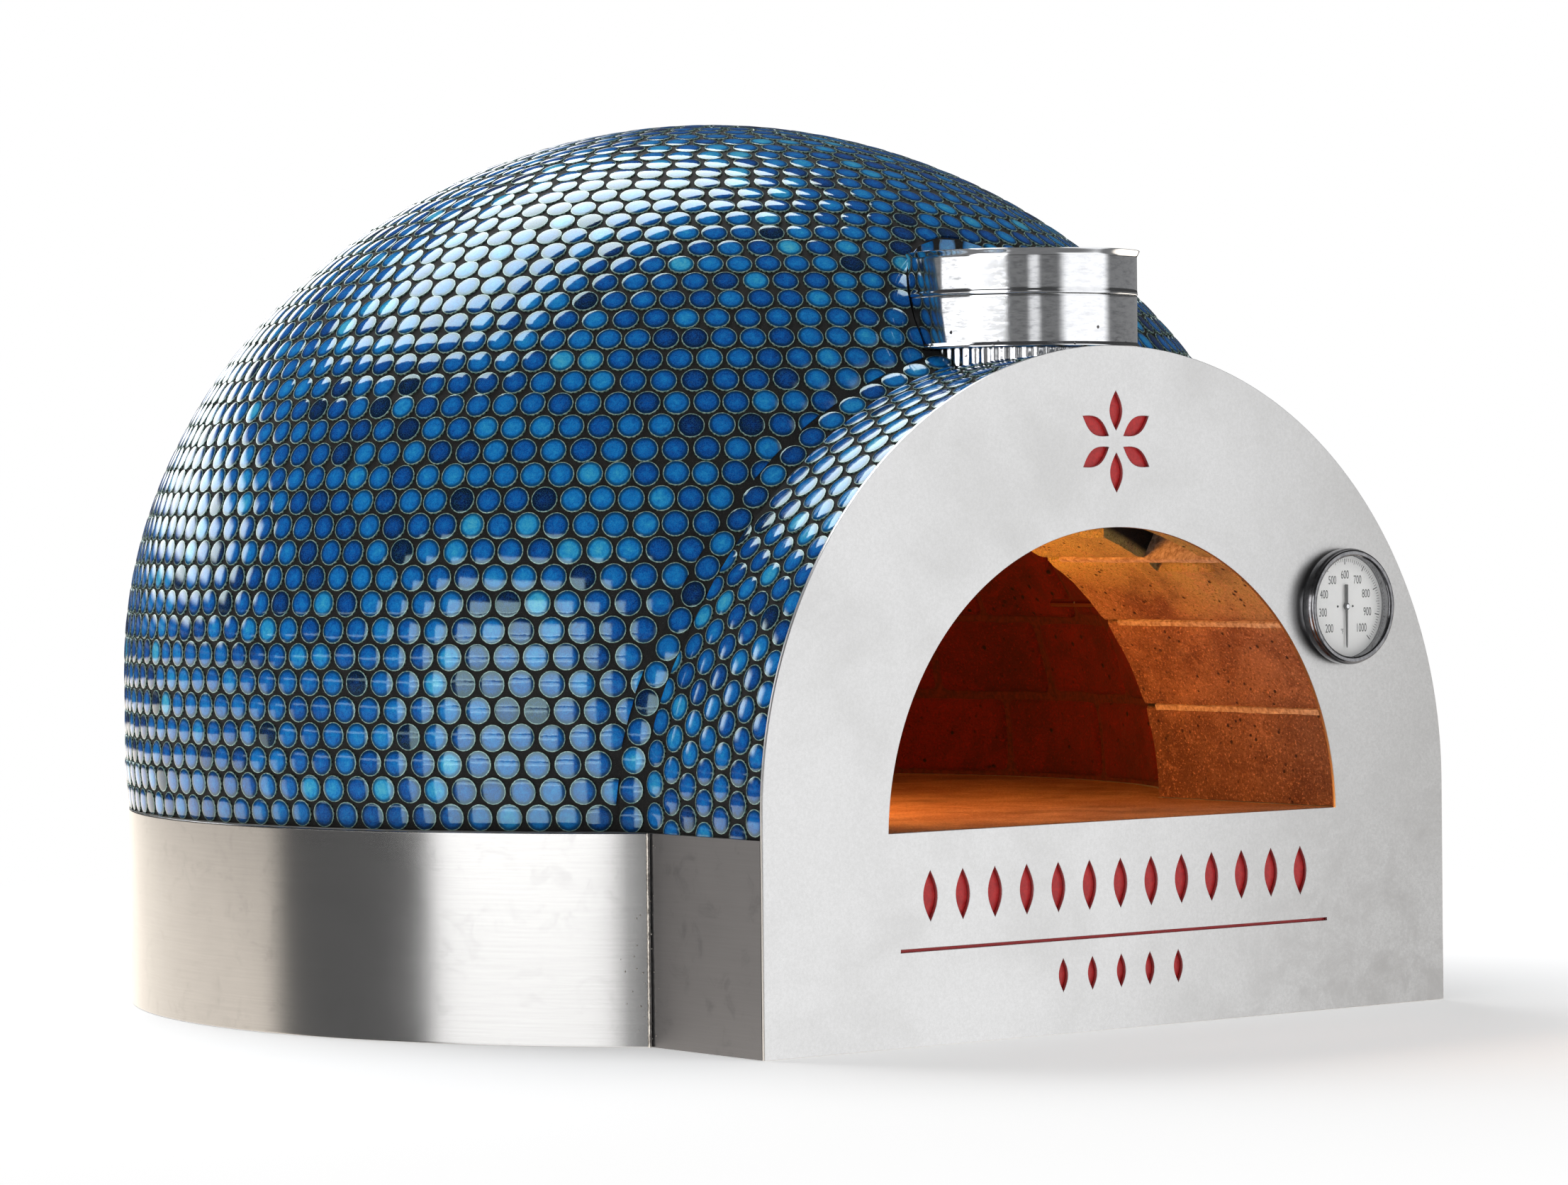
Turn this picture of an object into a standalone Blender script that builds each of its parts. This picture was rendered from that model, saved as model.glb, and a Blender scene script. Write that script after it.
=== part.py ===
"""Domed wood fired oven: a brick chamber under insulation, render and round tiles, standing in a
steel base with a steel front plate, a flue at the front and a dial thermometer on the plate.

Frame: metres, +Z up, origin on the ground at the centre of the round base, the mouth facing -Y.
"""
import math

import bmesh
import bpy

# Driving sizes, in metres and degrees
fit = 0.0003                 # gap kept between two pieces that touch
base_radius = 0.474          # outside of the round steel skirt
base_height = 0.152          # skirt height, which is also the height of the cooking floor
sheet = 0.0015               # skirt and side panel wall
pan_sheet = 0.003            # floor pan wall
plate_sheet = 0.003          # front plate wall
plate_recess = 0.002         # how far the plate's face stays behind the base circle's front
plate_band = 0.1125          # steel between the mouth's edge and the plate's outer edge
plate_straight = 0.168       # height of the plate's straight sides, where its round top starts
mouth_radius = 0.2175
mouth_centre = 0.148         # height of the centre of the mouth's arc
jamb_reveal = 0.0025         # how far the bricks of the entry stay behind the mouth's edge
service_gap = 0.003          # air between the plate and the bricks, where the red sheets hang

tile_layer = 0.007           # tiles with their bed
render_layer = 0.012
wall_blanket = 0.023         # insulation at the foot of the dome
crown_blanket = 0.110        # insulation over the crown
brick = 0.064
dome_setback = 0.006         # skirt radius less dome radius
dome_back = 0.017            # dome axis behind the base's centre
dome_wall_top = 0.260        # height where the dome's upright wall starts to close in
dome_rise = 0.428            # height of the curved part
dome_fullness = 1.96         # power of the dome's curve, where 2 is an ellipse and less is flatter
foot_taper = 0.0025          # how far the tiles pull in at their lowest edge
foot_height = 0.030          # height over which they do
arch_lap = 0.003             # how far the tiled entry arch stays inside the plate's edge

course_count = 7
crown_angle = 80.0           # where the courses end and the crown plug starts
floor_tile = 0.064
floor_joint = 0.0006

flue_radius = 0.085          # outside of the double-wall collar
flue_setback = 0.018         # collar's front edge behind the plate's face
flue_wall = 0.001
flue_space = 0.0085          # insulated space between the collar's two walls
flue_drop = 0.0006           # collar's lower edge under the plate's top
flue_lower = 0.0389          # heights of the collar's two sections
flue_upper = 0.0331
flue_joint = 0.0004
flue_bead = 0.0022           # how far the rolled rims stand out
throat_ledge = 0.005         # width of the brick ledge that the spigot stands on
throat_cover = 0.032         # brick left under the spigot

gauge_angle = 34.6           # gauge's place on the plate, seen from the mouth's centre
gauge_radius = 0.0437
gauge_depth = 0.014
gauge_wall = 0.0012
bezel_lip = 0.0035           # how far the bezel stands out round the case
bezel_lap = 0.0024           # how far its inner edge reaches in over the glass
bezel_back = 0.0039          # its back edge in front of the plate
bezel_edge = 0.0012          # size of its rounded edges
glass_drop = 0.0032          # glass's back behind the bezel's face
dial_sheet = 0.0006
dial_hole = 0.0016           # radius of the hole that the spindle comes through
stem_radius = 0.003175
stem_wall = 0.0007
stem_end = 0.002             # thickness of the stem's closed tip
stem_reach = 0.332           # from the plate's face to the stem's tip
bush_wall = 0.0024
spindle_radius = 0.0008
needle_sheet = 0.0010
needle_lift = 0.0012         # needle in front of the dial
needle_hub = 0.0045
needle_reach = 0.80          # its tip's reach as a share of the case's inner radius
blade_root = 0.0016          # half the blade's width at the hub
blade_tip = 0.0004
tail_root = 0.0013           # half the tail's width at the hub
tail_end = 0.0015
tail_reach = 3.7             # the tail's end as a multiple of the hub's radius
coil_length = 0.056
coil_turns = 5

rosette_radius = 0.037
petal_count = 6
petal_length = 0.78          # a petal's length as a share of the rosette's radius
petal_width = 0.42           # a petal's width as a share of its length
rosette_drop = 0.070         # plate's top to the rosette's centre
slot_half = 0.2075
slot_height = 0.0684
slot_wide = 0.0022
leaf_width = 0.36            # a cut leaf's width as a share of its length
upper_row = (13, 0.036, 0.180, 0.038)   # leaves, length of one, half the row, distance from the slot
lower_row = (5, 0.024, 0.056, 0.026)
backing_edge = 0.008         # red sheet beyond the cuts

angle_leg = 0.020
angle_sheet = 0.002
weld_radius = 0.0015

round_steps = 36             # facets round the dome and everything that follows it
curve_steps = 8              # facets up the dome
arch_steps = 24              # facets round the entry arch
pipe_steps = 20
dial_steps = 16

# Places worked out from the driving sizes
plate_half = mouth_radius + plate_band
plate_front = -(base_radius - plate_recess)
plate_back = plate_front + plate_sheet
plate_top = plate_straight + plate_half
masonry_front = plate_back + service_gap
crease = -math.sqrt(base_radius ** 2 - plate_half ** 2)
inner_half = plate_half - sheet - fit
inner_radius = base_radius - sheet - fit
shell_foot = base_height + fit
dome_top = dome_wall_top + dome_rise
dome_radius = base_radius - dome_setback
arch_half = plate_half - arch_lap
arch_inner = mouth_radius + jamb_reveal
arch_outer = arch_inner + brick
shell_wall = tile_layer + render_layer
chamber_radius = dome_radius - shell_wall - wall_blanket - brick
chamber_rise = dome_top - shell_wall - crown_blanket - brick - base_height
hearth_radius = chamber_radius - 2 * fit
flue_y = plate_front + flue_setback + flue_radius
flue_foot = plate_top - flue_drop
flue_middle = flue_foot + flue_lower
flue_top = flue_middle + flue_joint + flue_upper
liner_radius = flue_radius - flue_wall - flue_space
spigot_radius = liner_radius - flue_wall - fit
spigot_seat = mouth_centre + math.sqrt(arch_inner ** 2 - spigot_radius ** 2) + throat_cover
gauge_ring = mouth_radius + plate_band / 2
gauge_x = gauge_ring * math.cos(math.radians(gauge_angle))
gauge_z = mouth_centre + gauge_ring * math.sin(math.radians(gauge_angle))
bush_bore = stem_radius + fit
bush_radius = bush_bore + bush_wall
bush_end = plate_sheet + 0.011        # bush's end behind the plate's face


# Scene, materials and helpers
def clear_scene():
    for old in list(bpy.data.objects):
        bpy.data.objects.remove(old, do_unlink=True)


def make_material(name, colour, roughness, metallic=0.0, alpha=1.0):
    material = bpy.data.materials.new(name)
    material.use_nodes = True
    shader = material.node_tree.nodes["Principled BSDF"]
    shader.inputs["Base Color"].default_value = (*colour, 1.0)
    shader.inputs["Roughness"].default_value = roughness
    shader.inputs["Metallic"].default_value = metallic
    shader.inputs["Alpha"].default_value = alpha
    material.diffuse_color = (*colour, alpha)
    return material


def finish(name, bm, material=None, place=(0, 0, 0), turn=(0, 0, 0)):
    """Makes the bmesh an object; without a material it is a cutter."""
    bmesh.ops.remove_doubles(bm, verts=bm.verts, dist=1e-6)
    bmesh.ops.recalc_face_normals(bm, faces=bm.faces)
    mesh = bpy.data.meshes.new(name)
    bm.to_mesh(mesh)
    bm.free()
    mesh.shade_smooth()
    mesh.set_sharp_from_angle(angle=math.radians(35))
    part = bpy.data.objects.new(name, mesh)
    part.location = place
    part.rotation_euler = turn
    bpy.context.collection.objects.link(part)
    if material is None:
        part.hide_render = True
        part.display_type = "WIRE"
    else:
        mesh.materials.append(material)
    return part


def turned(profile, steps):
    """A profile of (radius, height) spun once round Z; it is closed unless it ends on the axis."""
    bm = bmesh.new()
    verts = [bm.verts.new((radius, 0, height)) for radius, height in profile]
    edges = [bm.edges.new(pair) for pair in zip(verts, verts[1:])]
    if profile[0][0] > 0:
        edges.append(bm.edges.new((verts[-1], verts[0])))
    bmesh.ops.spin(bm, geom=verts + edges, cent=(0, 0, 0), axis=(0, 0, 1),
                   angle=math.tau, steps=steps, use_merge=True)
    return bm


def add_prism(bm, outline, low, high, along):
    """An outline extruded along Z, or along Y where the outline is drawn in X and Z."""
    if along == "Z":
        points = [(u, v, low) for u, v in outline]
        move = (0, 0, high - low)
    else:
        points = [(u, low, v) for u, v in outline]
        move = (0, high - low, 0)
    face = bm.faces.new([bm.verts.new(point) for point in points])
    grown = bmesh.ops.extrude_face_region(bm, geom=[face], use_keep_orig=True)
    moved = [item for item in grown["geom"] if isinstance(item, bmesh.types.BMVert)]
    bmesh.ops.translate(bm, verts=moved, vec=move)
    return bm


def prism(outline, low, high, along="Z"):
    return add_prism(bmesh.new(), outline, low, high, along)


def box(low, high):
    outline = [(low[0], low[1]), (high[0], low[1]), (high[0], high[1]), (low[0], high[1])]
    return prism(outline, low[2], high[2])


def arc(radius, start, end, steps, centre=(0, 0)):
    """Points on an arc between two angles in degrees, both ends included."""
    turns = [math.radians(start + (end - start) * i / steps) for i in range(steps + 1)]
    return [(centre[0] + radius * math.cos(t), centre[1] + radius * math.sin(t)) for t in turns]


def boolean(part, tool, operation="DIFFERENCE"):
    step = part.modifiers.new(operation.lower(), "BOOLEAN")
    step.operation = operation
    step.solver = "EXACT"
    step.object = tool


def ring_profile(outer, wall, low, high):
    return [(outer - wall, low), (outer, low), (outer, high), (outer - wall, high)]


# Outlines that several pieces share
def dome_profile(inset, foot):
    """The tiled dome's outside, or a surface the given depth under it, from its foot to its top."""
    radius = dome_radius - inset
    rise = dome_rise - inset
    points = [(radius - foot_taper, foot)]
    points.append((radius, base_height + foot_height))
    power = 2 / dome_fullness
    for step in range(curve_steps):
        t = math.radians(90 * step / curve_steps)
        points.append((radius * math.cos(t) ** power, dome_wall_top + rise * math.sin(t) ** power))
    points.append((0, dome_wall_top + rise))
    return points


def dome_solid(inset, foot):
    return turned([(0, foot)] + dome_profile(inset, foot), round_steps)


def arch_outline(half, foot, steps):
    """The entry's outside: upright sides and a round top."""
    top = arc(half, 0, 180, steps, (0, plate_straight))
    return [(half, foot)] + top + [(-half, foot)]


def arch_solid(inset, foot, front):
    return prism(arch_outline(arch_half - inset, foot, arch_steps + 1), front, dome_back, "Y")


def course_angle(step):
    return math.radians(crown_angle * step / course_count)


def lining_point(t, depth):
    """A point in the chamber's wall: depth 0 is the inside and depth brick is the outside."""
    return ((chamber_radius + depth) * math.cos(t), base_height + (chamber_rise + depth) * math.sin(t))


def lining_solid(depth, foot):
    """Everything inside the chamber's wall at one depth."""
    points = [(0, foot), (chamber_radius + depth, foot)]
    points += [lining_point(course_angle(step), depth) for step in range(course_count + 1)]
    points.append((0, base_height + chamber_rise + depth))
    return turned(points, round_steps)


def footprint(radius, half, front):
    """The base seen from above: a round back and a straight-sided entry."""
    start = math.degrees(math.atan2(-math.sqrt(radius ** 2 - half ** 2), half))
    back = arc(radius, start, 180 - start, round_steps)
    return [(half, front)] + back + [(-half, front)]


def mouth_outline(radius, foot):
    start = math.degrees(math.asin((foot - mouth_centre) / radius))
    return arc(radius, start, 180 - start, 2 * arch_steps + 1, (0, mouth_centre))


# Base
def make_base(steel, concrete, weld):
    pan = footprint(inner_radius, inner_half, plate_back + fit)
    finish("floor_pan", prism(pan, 0, pan_sheet), steel)
    turn = math.degrees(math.atan2(crease, plate_half))
    start = turn + math.degrees(fit / base_radius)
    wall = arc(base_radius, start, 180 - start, round_steps)
    wall += reversed(arc(base_radius - sheet, start, 180 - start, round_steps))
    finish("base_skirt", prism(wall, 0, base_height), steel)
    for side, name in ((1, "right"), (-1, "left")):
        edges = sorted((side * plate_half, side * (plate_half - sheet)))
        finish("side_panel_" + name, box((edges[0], plate_back + fit, 0),
                                         (edges[1], crease - fit, base_height)), steel)
        x = plate_half + weld_radius + fit
        y = -math.sqrt((base_radius + weld_radius + fit) ** 2 - x ** 2)
        bead = arc(weld_radius, 0, 315, 7, (side * x, y))
        finish("corner_weld_" + name, prism(bead, 0, base_height), weld)

    block = footprint(inner_radius, inner_half, masonry_front)
    block = finish("base_block", prism(block, pan_sheet + fit, base_height), concrete)
    pocket_floor = base_height - floor_tile - fit
    pocket = turned([(0, pocket_floor), (hearth_radius + fit, pocket_floor),
                     (hearth_radius + fit, base_height + fit), (0, base_height + fit)], round_steps)
    boolean(block, finish("hearth_pocket", pocket, place=(0, dome_back, 0)))
    half = arch_inner - fit
    boolean(block, finish("entry_pocket", box((-half, masonry_front - fit, pocket_floor),
                                              (half, dome_back, base_height + fit))))
    notch = angle_leg + 2 * fit
    for side, name in ((1, "right"), (-1, "left")):
        edges = sorted((side * (plate_half - sheet), side * (inner_half - notch)))
        boolean(block, finish("notch_" + name, box((edges[0], masonry_front - fit, 0),
                                                   (edges[1], plate_back + notch, base_height + fit))))


def make_corner_angles(steel):
    """Angles welded behind the plate's lower corners, which tie it to the side panels."""
    low = 2 * pan_sheet
    high = base_height - 2 * pan_sheet
    for side, name in ((1, "right"), (-1, "left")):
        x = side * inner_half
        inner = side * (inner_half - angle_sheet)
        far = side * (inner_half - angle_leg)
        y = plate_back + fit
        outline = [(x, y), (x, y + angle_leg), (inner, y + angle_leg), (inner, y + angle_sheet),
                   (far, y + angle_sheet), (far, y)]
        finish("plate_angle_" + name, prism(outline, low, high), steel)


def make_hearth(firebrick):
    low = base_height - floor_tile
    gap = floor_joint / 2
    start = math.degrees(math.asin(gap / hearth_radius))
    for quarter in range(4):
        outline = [(gap, gap)] + arc(hearth_radius, start, 90 - start, round_steps // 4)
        finish(f"hearth_tile_{quarter + 1}", prism(outline, low, base_height), firebrick,
               place=(0, dome_back, 0), turn=(0, 0, math.radians(90 * quarter)))
    half = arch_inner - 2 * fit
    slab = finish("entry_slab", box((-half, masonry_front, low), (half, dome_back, base_height)), firebrick)
    disc = turned([(0, low - fit), (hearth_radius + fit, low - fit),
                   (hearth_radius + fit, base_height + fit), (0, base_height + fit)], round_steps)
    boolean(slab, finish("hearth_disc", disc, place=(0, dome_back, 0)))


# Front plate and what hangs behind its cut-outs
def lens(length, width, steps=3):
    """A leaf with two pointed ends, lying along X and centred on the origin."""
    bulge = [math.sin(math.pi * i / steps) * width / 2 for i in range(steps + 1)]
    places = [length * (i / steps - 0.5) for i in range(steps + 1)]
    upper = list(zip(places, bulge))
    lower = [(x, -y) for x, y in upper[-2:0:-1]]
    return upper + lower


def moved_outline(outline, centre, turn):
    c = math.cos(turn)
    s = math.sin(turn)
    return [(centre[0] + c * x - s * y, centre[1] + s * x + c * y) for x, y in outline]


def add_cut(bm, outline):
    add_prism(bm, outline, plate_front - fit, plate_back + fit, "Y")


def rosette_cuts():
    """Six leaves round a point, cut through the plate over the mouth."""
    bm = bmesh.new()
    leaf = rosette_radius * petal_length
    for petal in range(petal_count):
        turn = math.tau * (petal + 0.5) / petal_count
        reach = rosette_radius - leaf / 2
        centre = (reach * math.cos(turn), plate_top - rosette_drop + reach * math.sin(turn))
        add_cut(bm, moved_outline(lens(leaf, leaf * petal_width), centre, turn))
    return bm


def frieze_cuts():
    """A long slot with a row of upright leaves over it and a short row of small ones under it."""
    bm = bmesh.new()
    low = slot_height - slot_wide / 2
    high = slot_height + slot_wide / 2
    add_cut(bm, [(-slot_half, low), (slot_half, low), (slot_half, high), (-slot_half, high)])
    for (count, tall, row_half, away), side in ((upper_row, 1), (lower_row, -1)):
        for leaf in range(count):
            centre = (row_half * (2 * leaf / (count - 1) - 1), slot_height + side * away)
            add_cut(bm, moved_outline(lens(tall, tall * leaf_width), centre, math.pi / 2))
    return bm


def make_plate(steel, red):
    outline = arch_outline(plate_half, 0, 2 * arch_steps)
    plate = finish("front_plate", prism(outline, plate_front, plate_back, "Y"), steel)
    mouth = mouth_outline(mouth_radius, base_height)
    boolean(plate, finish("mouth_cut", prism(mouth, plate_front - fit, plate_back + fit, "Y")))
    boolean(plate, finish("rosette_cut", rosette_cuts()))
    boolean(plate, finish("frieze_cut", frieze_cuts()))
    hole = arc(bush_radius + fit, 0, 360 - 360 / dial_steps, dial_steps - 1, (gauge_x, gauge_z))
    boolean(plate, finish("gauge_cut", prism(hole, plate_front - fit, plate_back + fit, "Y")))
    near = plate_back + fit
    far = near + service_gap / 3
    low = mouth_centre + mouth_radius + backing_edge
    half = rosette_radius + backing_edge
    ceiling = (arch_half - shell_wall) * math.cos(math.pi / (2 * arch_steps))
    high = plate_straight + math.sqrt(ceiling ** 2 - half ** 2) - 2 * fit
    finish("emblem_backing", box((-half, near, low), (half, far, high)), red)
    half = slot_half + backing_edge
    low = slot_height - lower_row[3] - lower_row[1]
    high = slot_height + upper_row[3] + upper_row[1]
    finish("frieze_backing", box((-half, near, low), (half, far, high)), red)


def stem_bore(name):
    """A cutter for the way that the thermometer's bush and stem take through the masonry."""
    bore = [(0, -stem_reach), (bush_bore + fit, -stem_reach), (bush_bore + fit, -bush_end - fit),
            (bush_radius + fit, -bush_end - fit), (bush_radius + fit, 0), (0, 0)]
    return finish(name, turned(bore, dial_steps), place=(gauge_x, plate_front, gauge_z),
                  turn=(math.pi / 2, 0, 0))


# Brick lining
def make_courses(firebrick):
    passage = prism(mouth_outline(arch_outer + fit, base_height - fit), plate_front, dome_back, "Y")
    passage = finish("passage", passage)
    column = [(0, mouth_centre), (spigot_radius + fit, mouth_centre), (spigot_radius + fit, plate_top),
              (0, plate_top)]
    column = finish("course_column", turned(column, pipe_steps), place=(0, flue_y, 0))
    boolean(passage, column, "UNION")
    boolean(passage, stem_bore("course_bore"), "UNION")
    gap = 0.6 * fit / chamber_rise
    for course in range(course_count):
        low = course_angle(course) + gap
        high = course_angle(course + 1) - gap
        section = [lining_point(low, 0), lining_point(low, brick),
                   lining_point(high, brick), lining_point(high, 0)]
        ring = finish(f"brick_course_{course + 1}", turned(section, round_steps), firebrick,
                      place=(0, dome_back, 0))
        if lining_point(low, 0)[1] < plate_top:
            boolean(ring, passage)
    edge = course_angle(course_count) + gap
    top = base_height + chamber_rise
    plug = [(0, top), lining_point(edge, 0), lining_point(edge, brick), (0, top + brick)]
    finish("crown_plug", turned(plug, round_steps), firebrick, place=(0, dome_back, 0))


def arch_block(start, end):
    """One block's end, between two angles; the lowest ones are cut level at the floor."""
    outline = []
    for radius, turns in ((arch_inner, (start, end)), (arch_outer, (end, start))):
        level = math.degrees(math.asin((shell_foot - mouth_centre) / radius))
        joint = math.degrees(0.5 * fit / radius)
        low = max(min(turns) + joint, level)
        high = max(turns) - joint
        steps = max(2, round((high - low) / 10))
        run = arc(radius, low, high, steps, (0, mouth_centre))
        outline += run if turns[0] < turns[1] else run[::-1]
    return outline


def make_entry_arch(firebrick):
    chamber = finish("chamber", lining_solid(0, base_height - brick), place=(0, dome_back, 0))
    seat = turned([(0, 0), (spigot_radius - throat_ledge, 0), (spigot_radius - throat_ledge, spigot_seat),
                   (spigot_radius + fit, spigot_seat), (spigot_radius + fit, plate_top),
                   (0, plate_top)], pipe_steps)
    seat = finish("throat_cut", seat, place=(0, flue_y, 0))
    bore = stem_bore("block_bore")
    spans = [(f"arch_block_right_{i + 1}", 20 * i, 20 * i + 20) for i in range(3)]
    spans += [("flue_block", 60, 120)]
    spans += [(f"arch_block_left_{3 - i}", 120 + 20 * i, 140 + 20 * i) for i in range(3)]
    for name, start, end in spans:
        if start > 90:
            outline = [(-x, z) for x, z in arch_block(180 - end, 180 - start)]
        else:
            outline = arch_block(start, end)
        block = finish(name, prism(outline, masonry_front, dome_back, "Y"), firebrick)
        boolean(block, chamber)
        if name == "flue_block":
            boolean(block, seat)
        if name == "arch_block_right_2":
            boolean(block, bore)


# Insulation, render and tiles
def make_shells(blanket, render, tiles, arch_tiles):
    foot = shell_foot
    below = base_height - foot_height
    narrow = spigot_radius + fit
    wide = flue_radius + flue_bead + fit
    through = turned([(0, 0), (narrow, 0), (narrow, flue_foot - fit), (wide, flue_foot - fit),
                      (wide, dome_top), (0, dome_top)], pipe_steps)
    through = finish("flue_hole", through, place=(0, flue_y, 0))
    here = (0, dome_back, 0)
    dome_bed = finish("dome_bed", dome_solid(tile_layer, below), place=here)
    arch_bed = finish("arch_bed", arch_solid(tile_layer, below, plate_front))
    arch_space = finish("arch_space", arch_solid(-fit, below, plate_front))
    lining = finish("lining_cut", lining_solid(brick + fit, below), place=here)
    lobby = finish("lobby_cut", prism(mouth_outline(arch_outer + fit, base_height - fit), plate_front - fit,
                                      dome_back, "Y"))

    boolean(lining, lobby, "UNION")
    boolean(lining, through, "UNION")
    boolean(lining, stem_bore("blanket_bore"), "UNION")
    layer = finish("insulation_blanket", dome_solid(shell_wall + fit, foot), blanket, place=here)
    joined = finish("blanket_arch", arch_solid(shell_wall + fit, foot, masonry_front))
    boolean(layer, joined, "UNION")
    boolean(layer, lining)

    layer = finish("render_shell", dome_solid(tile_layer + fit, foot), render, place=here)
    joined = finish("render_arch", arch_solid(tile_layer + fit, foot, plate_back + fit))
    boolean(layer, joined, "UNION")
    inside = finish("render_inside", dome_solid(shell_wall, below), place=here)
    boolean(inside, finish("render_lobby", arch_solid(shell_wall, below, plate_front)), "UNION")
    boolean(inside, through, "UNION")
    boolean(layer, inside)

    layer = finish("dome_mosaic", dome_solid(0, foot), tiles, place=here)
    boolean(layer, dome_bed)
    boolean(layer, arch_space)
    boolean(layer, through)

    layer = finish("arch_mosaic", arch_solid(0, foot, plate_back + fit), arch_tiles)
    boolean(layer, arch_bed)
    boolean(layer, dome_bed)
    boolean(layer, through)


# Flue
def make_flue(steel, wool):
    here = (0, flue_y, 0)
    spigot_top = flue_foot + 2 * flue_bead
    spigot = ring_profile(spigot_radius, flue_wall, spigot_seat + fit, spigot_top)
    finish("flue_spigot", turned(spigot, pipe_steps), steel, place=here)
    inside = flue_radius - flue_wall
    bead = [(inside, flue_foot), (flue_radius + flue_bead / 2, flue_foot),
            (flue_radius + flue_bead, flue_foot + flue_bead), (flue_radius, flue_foot + 2 * flue_bead),
            (flue_radius, flue_middle), (inside, flue_middle)]
    finish("flue_collar_lower", turned(bead, pipe_steps), steel, place=here)
    low = flue_middle + flue_joint
    rim = [(inside, low), (flue_radius, low), (flue_radius, flue_top - 2 * flue_bead),
           (flue_radius + flue_bead / 2, flue_top - flue_bead), (flue_radius + flue_bead, flue_top),
           (inside + flue_bead, flue_top), (inside, flue_top - 1.5 * flue_bead)]
    finish("flue_collar_upper", turned(rim, pipe_steps), steel, place=here)
    foot = flue_foot + fit
    crown = flue_top - 2 * flue_bead
    finish("flue_liner", turned(ring_profile(liner_radius, flue_wall, foot, crown), pipe_steps),
           steel, place=here)
    outer = inside - fit
    wide = flue_space - 2 * fit
    finish("flue_base_ring", turned(ring_profile(outer, wide, foot, foot + flue_wall), pipe_steps),
           steel, place=here)
    finish("flue_packing", turned(ring_profile(outer, wide, foot + flue_wall + fit,
                                               crown - flue_wall - fit), pipe_steps), wool, place=here)
    finish("flue_top_ring", turned(ring_profile(outer, wide, crown - flue_wall, crown), pipe_steps),
           steel, place=here)


# Thermometer: each piece is drawn with +Z out of the plate, then turned to face -Y
def make_gauge(steel, clear, white, black, brass):
    place = (gauge_x, plate_front, gauge_z)
    turn = (math.pi / 2, 0, 0)

    def add(name, bm, material):
        return finish(name, bm, material, place=place, turn=turn)

    case_radius = gauge_radius - bezel_lip
    bore = case_radius - gauge_wall
    window = case_radius - bezel_lap
    glass_low = gauge_depth - glass_drop
    glass_high = glass_low + gauge_wall
    hole = bush_radius + fit
    floor = fit + gauge_wall
    add("gauge_case", turned([(hole, fit), (case_radius, fit), (case_radius, glass_low - fit),
                              (bore, glass_low - fit), (bore, floor), (hole, floor)], dial_steps), steel)
    add("gauge_bezel", turned([(case_radius + fit, bezel_back), (gauge_radius, bezel_back),
                               (gauge_radius, gauge_depth - bezel_edge),
                               (gauge_radius - bezel_edge, gauge_depth), (window + bezel_edge, gauge_depth),
                               (window, gauge_depth - bezel_edge), (window, glass_high + fit),
                               (case_radius + fit, glass_high + fit)], dial_steps), steel)
    add("gauge_glass", turned([(0, glass_low), (case_radius, glass_low), (case_radius, glass_high),
                               (0, glass_high)], dial_steps), clear)
    flange = floor + fit
    flange_radius = 1.5 * bush_radius
    add("gauge_bush", turned([(bush_bore, -bush_end), (bush_radius, -bush_end), (bush_radius, flange),
                              (flange_radius, flange), (flange_radius, flange + gauge_wall),
                              (bush_bore, flange + gauge_wall)], dial_steps), brass)
    nut = arc(2 * bush_radius, 0, 300, 5)
    nut = add("gauge_nut", prism(nut, -plate_sheet - service_gap + fit, -plate_sheet - fit), brass)
    boolean(nut, add("nut_bore", turned([(0, -bush_end), (bush_radius + fit, -bush_end),
                                         (bush_radius + fit, 0), (0, 0)], dial_steps), None))
    dial = flange + gauge_wall + fit
    dial_disc = ring_profile(bore - fit, bore - fit - dial_hole, dial, dial + dial_sheet)
    add("gauge_dial", turned(dial_disc, dial_steps), white)
    stem_bore = stem_radius - stem_wall
    add("gauge_stem", turned([(0, -stem_reach), (stem_radius, -stem_reach), (stem_radius, flange),
                              (stem_bore, flange), (stem_bore, stem_end - stem_reach),
                              (0, stem_end - stem_reach)], 12), steel)

    needle_low = dial + dial_sheet + needle_lift
    needle_high = needle_low + needle_sheet
    head = needle_high + fit
    coil_low = 2 * stem_end - stem_reach
    coil_high = coil_low + coil_length
    add("gauge_spindle", turned([(0, coil_high + fit), (spindle_radius, coil_high + fit),
                                 (spindle_radius, head), (2 * spindle_radius, head),
                                 (2 * spindle_radius, head + spindle_radius),
                                 (0, head + spindle_radius)], 10), steel)
    reach = bore * needle_reach
    tail_far = tail_reach * needle_hub
    blade = [(blade_root, -needle_hub), (blade_tip, -reach), (-blade_tip, -reach),
             (-blade_root, -needle_hub)]
    tail = [(-tail_root, needle_hub), (-tail_end, tail_far), (tail_end, tail_far), (tail_root, needle_hub)]
    left = [(-needle_hub, -needle_hub / 2), (-needle_hub, 0), (-needle_hub, needle_hub / 2)]
    right = [(-x, y) for x, y in reversed(left)]
    outline = blade + left + tail + right
    needle = add("gauge_needle", prism(outline, needle_low, needle_high), black)
    boolean(needle, add("needle_bore", turned([(0, 0), (spindle_radius + fit, 0),
                                               (spindle_radius + fit, gauge_depth),
                                               (0, gauge_depth)], 10), None))
    add("bimetal_coil", coil(spindle_radius, stem_bore - fit, coil_low, coil_high, coil_turns, 9), brass)


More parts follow.
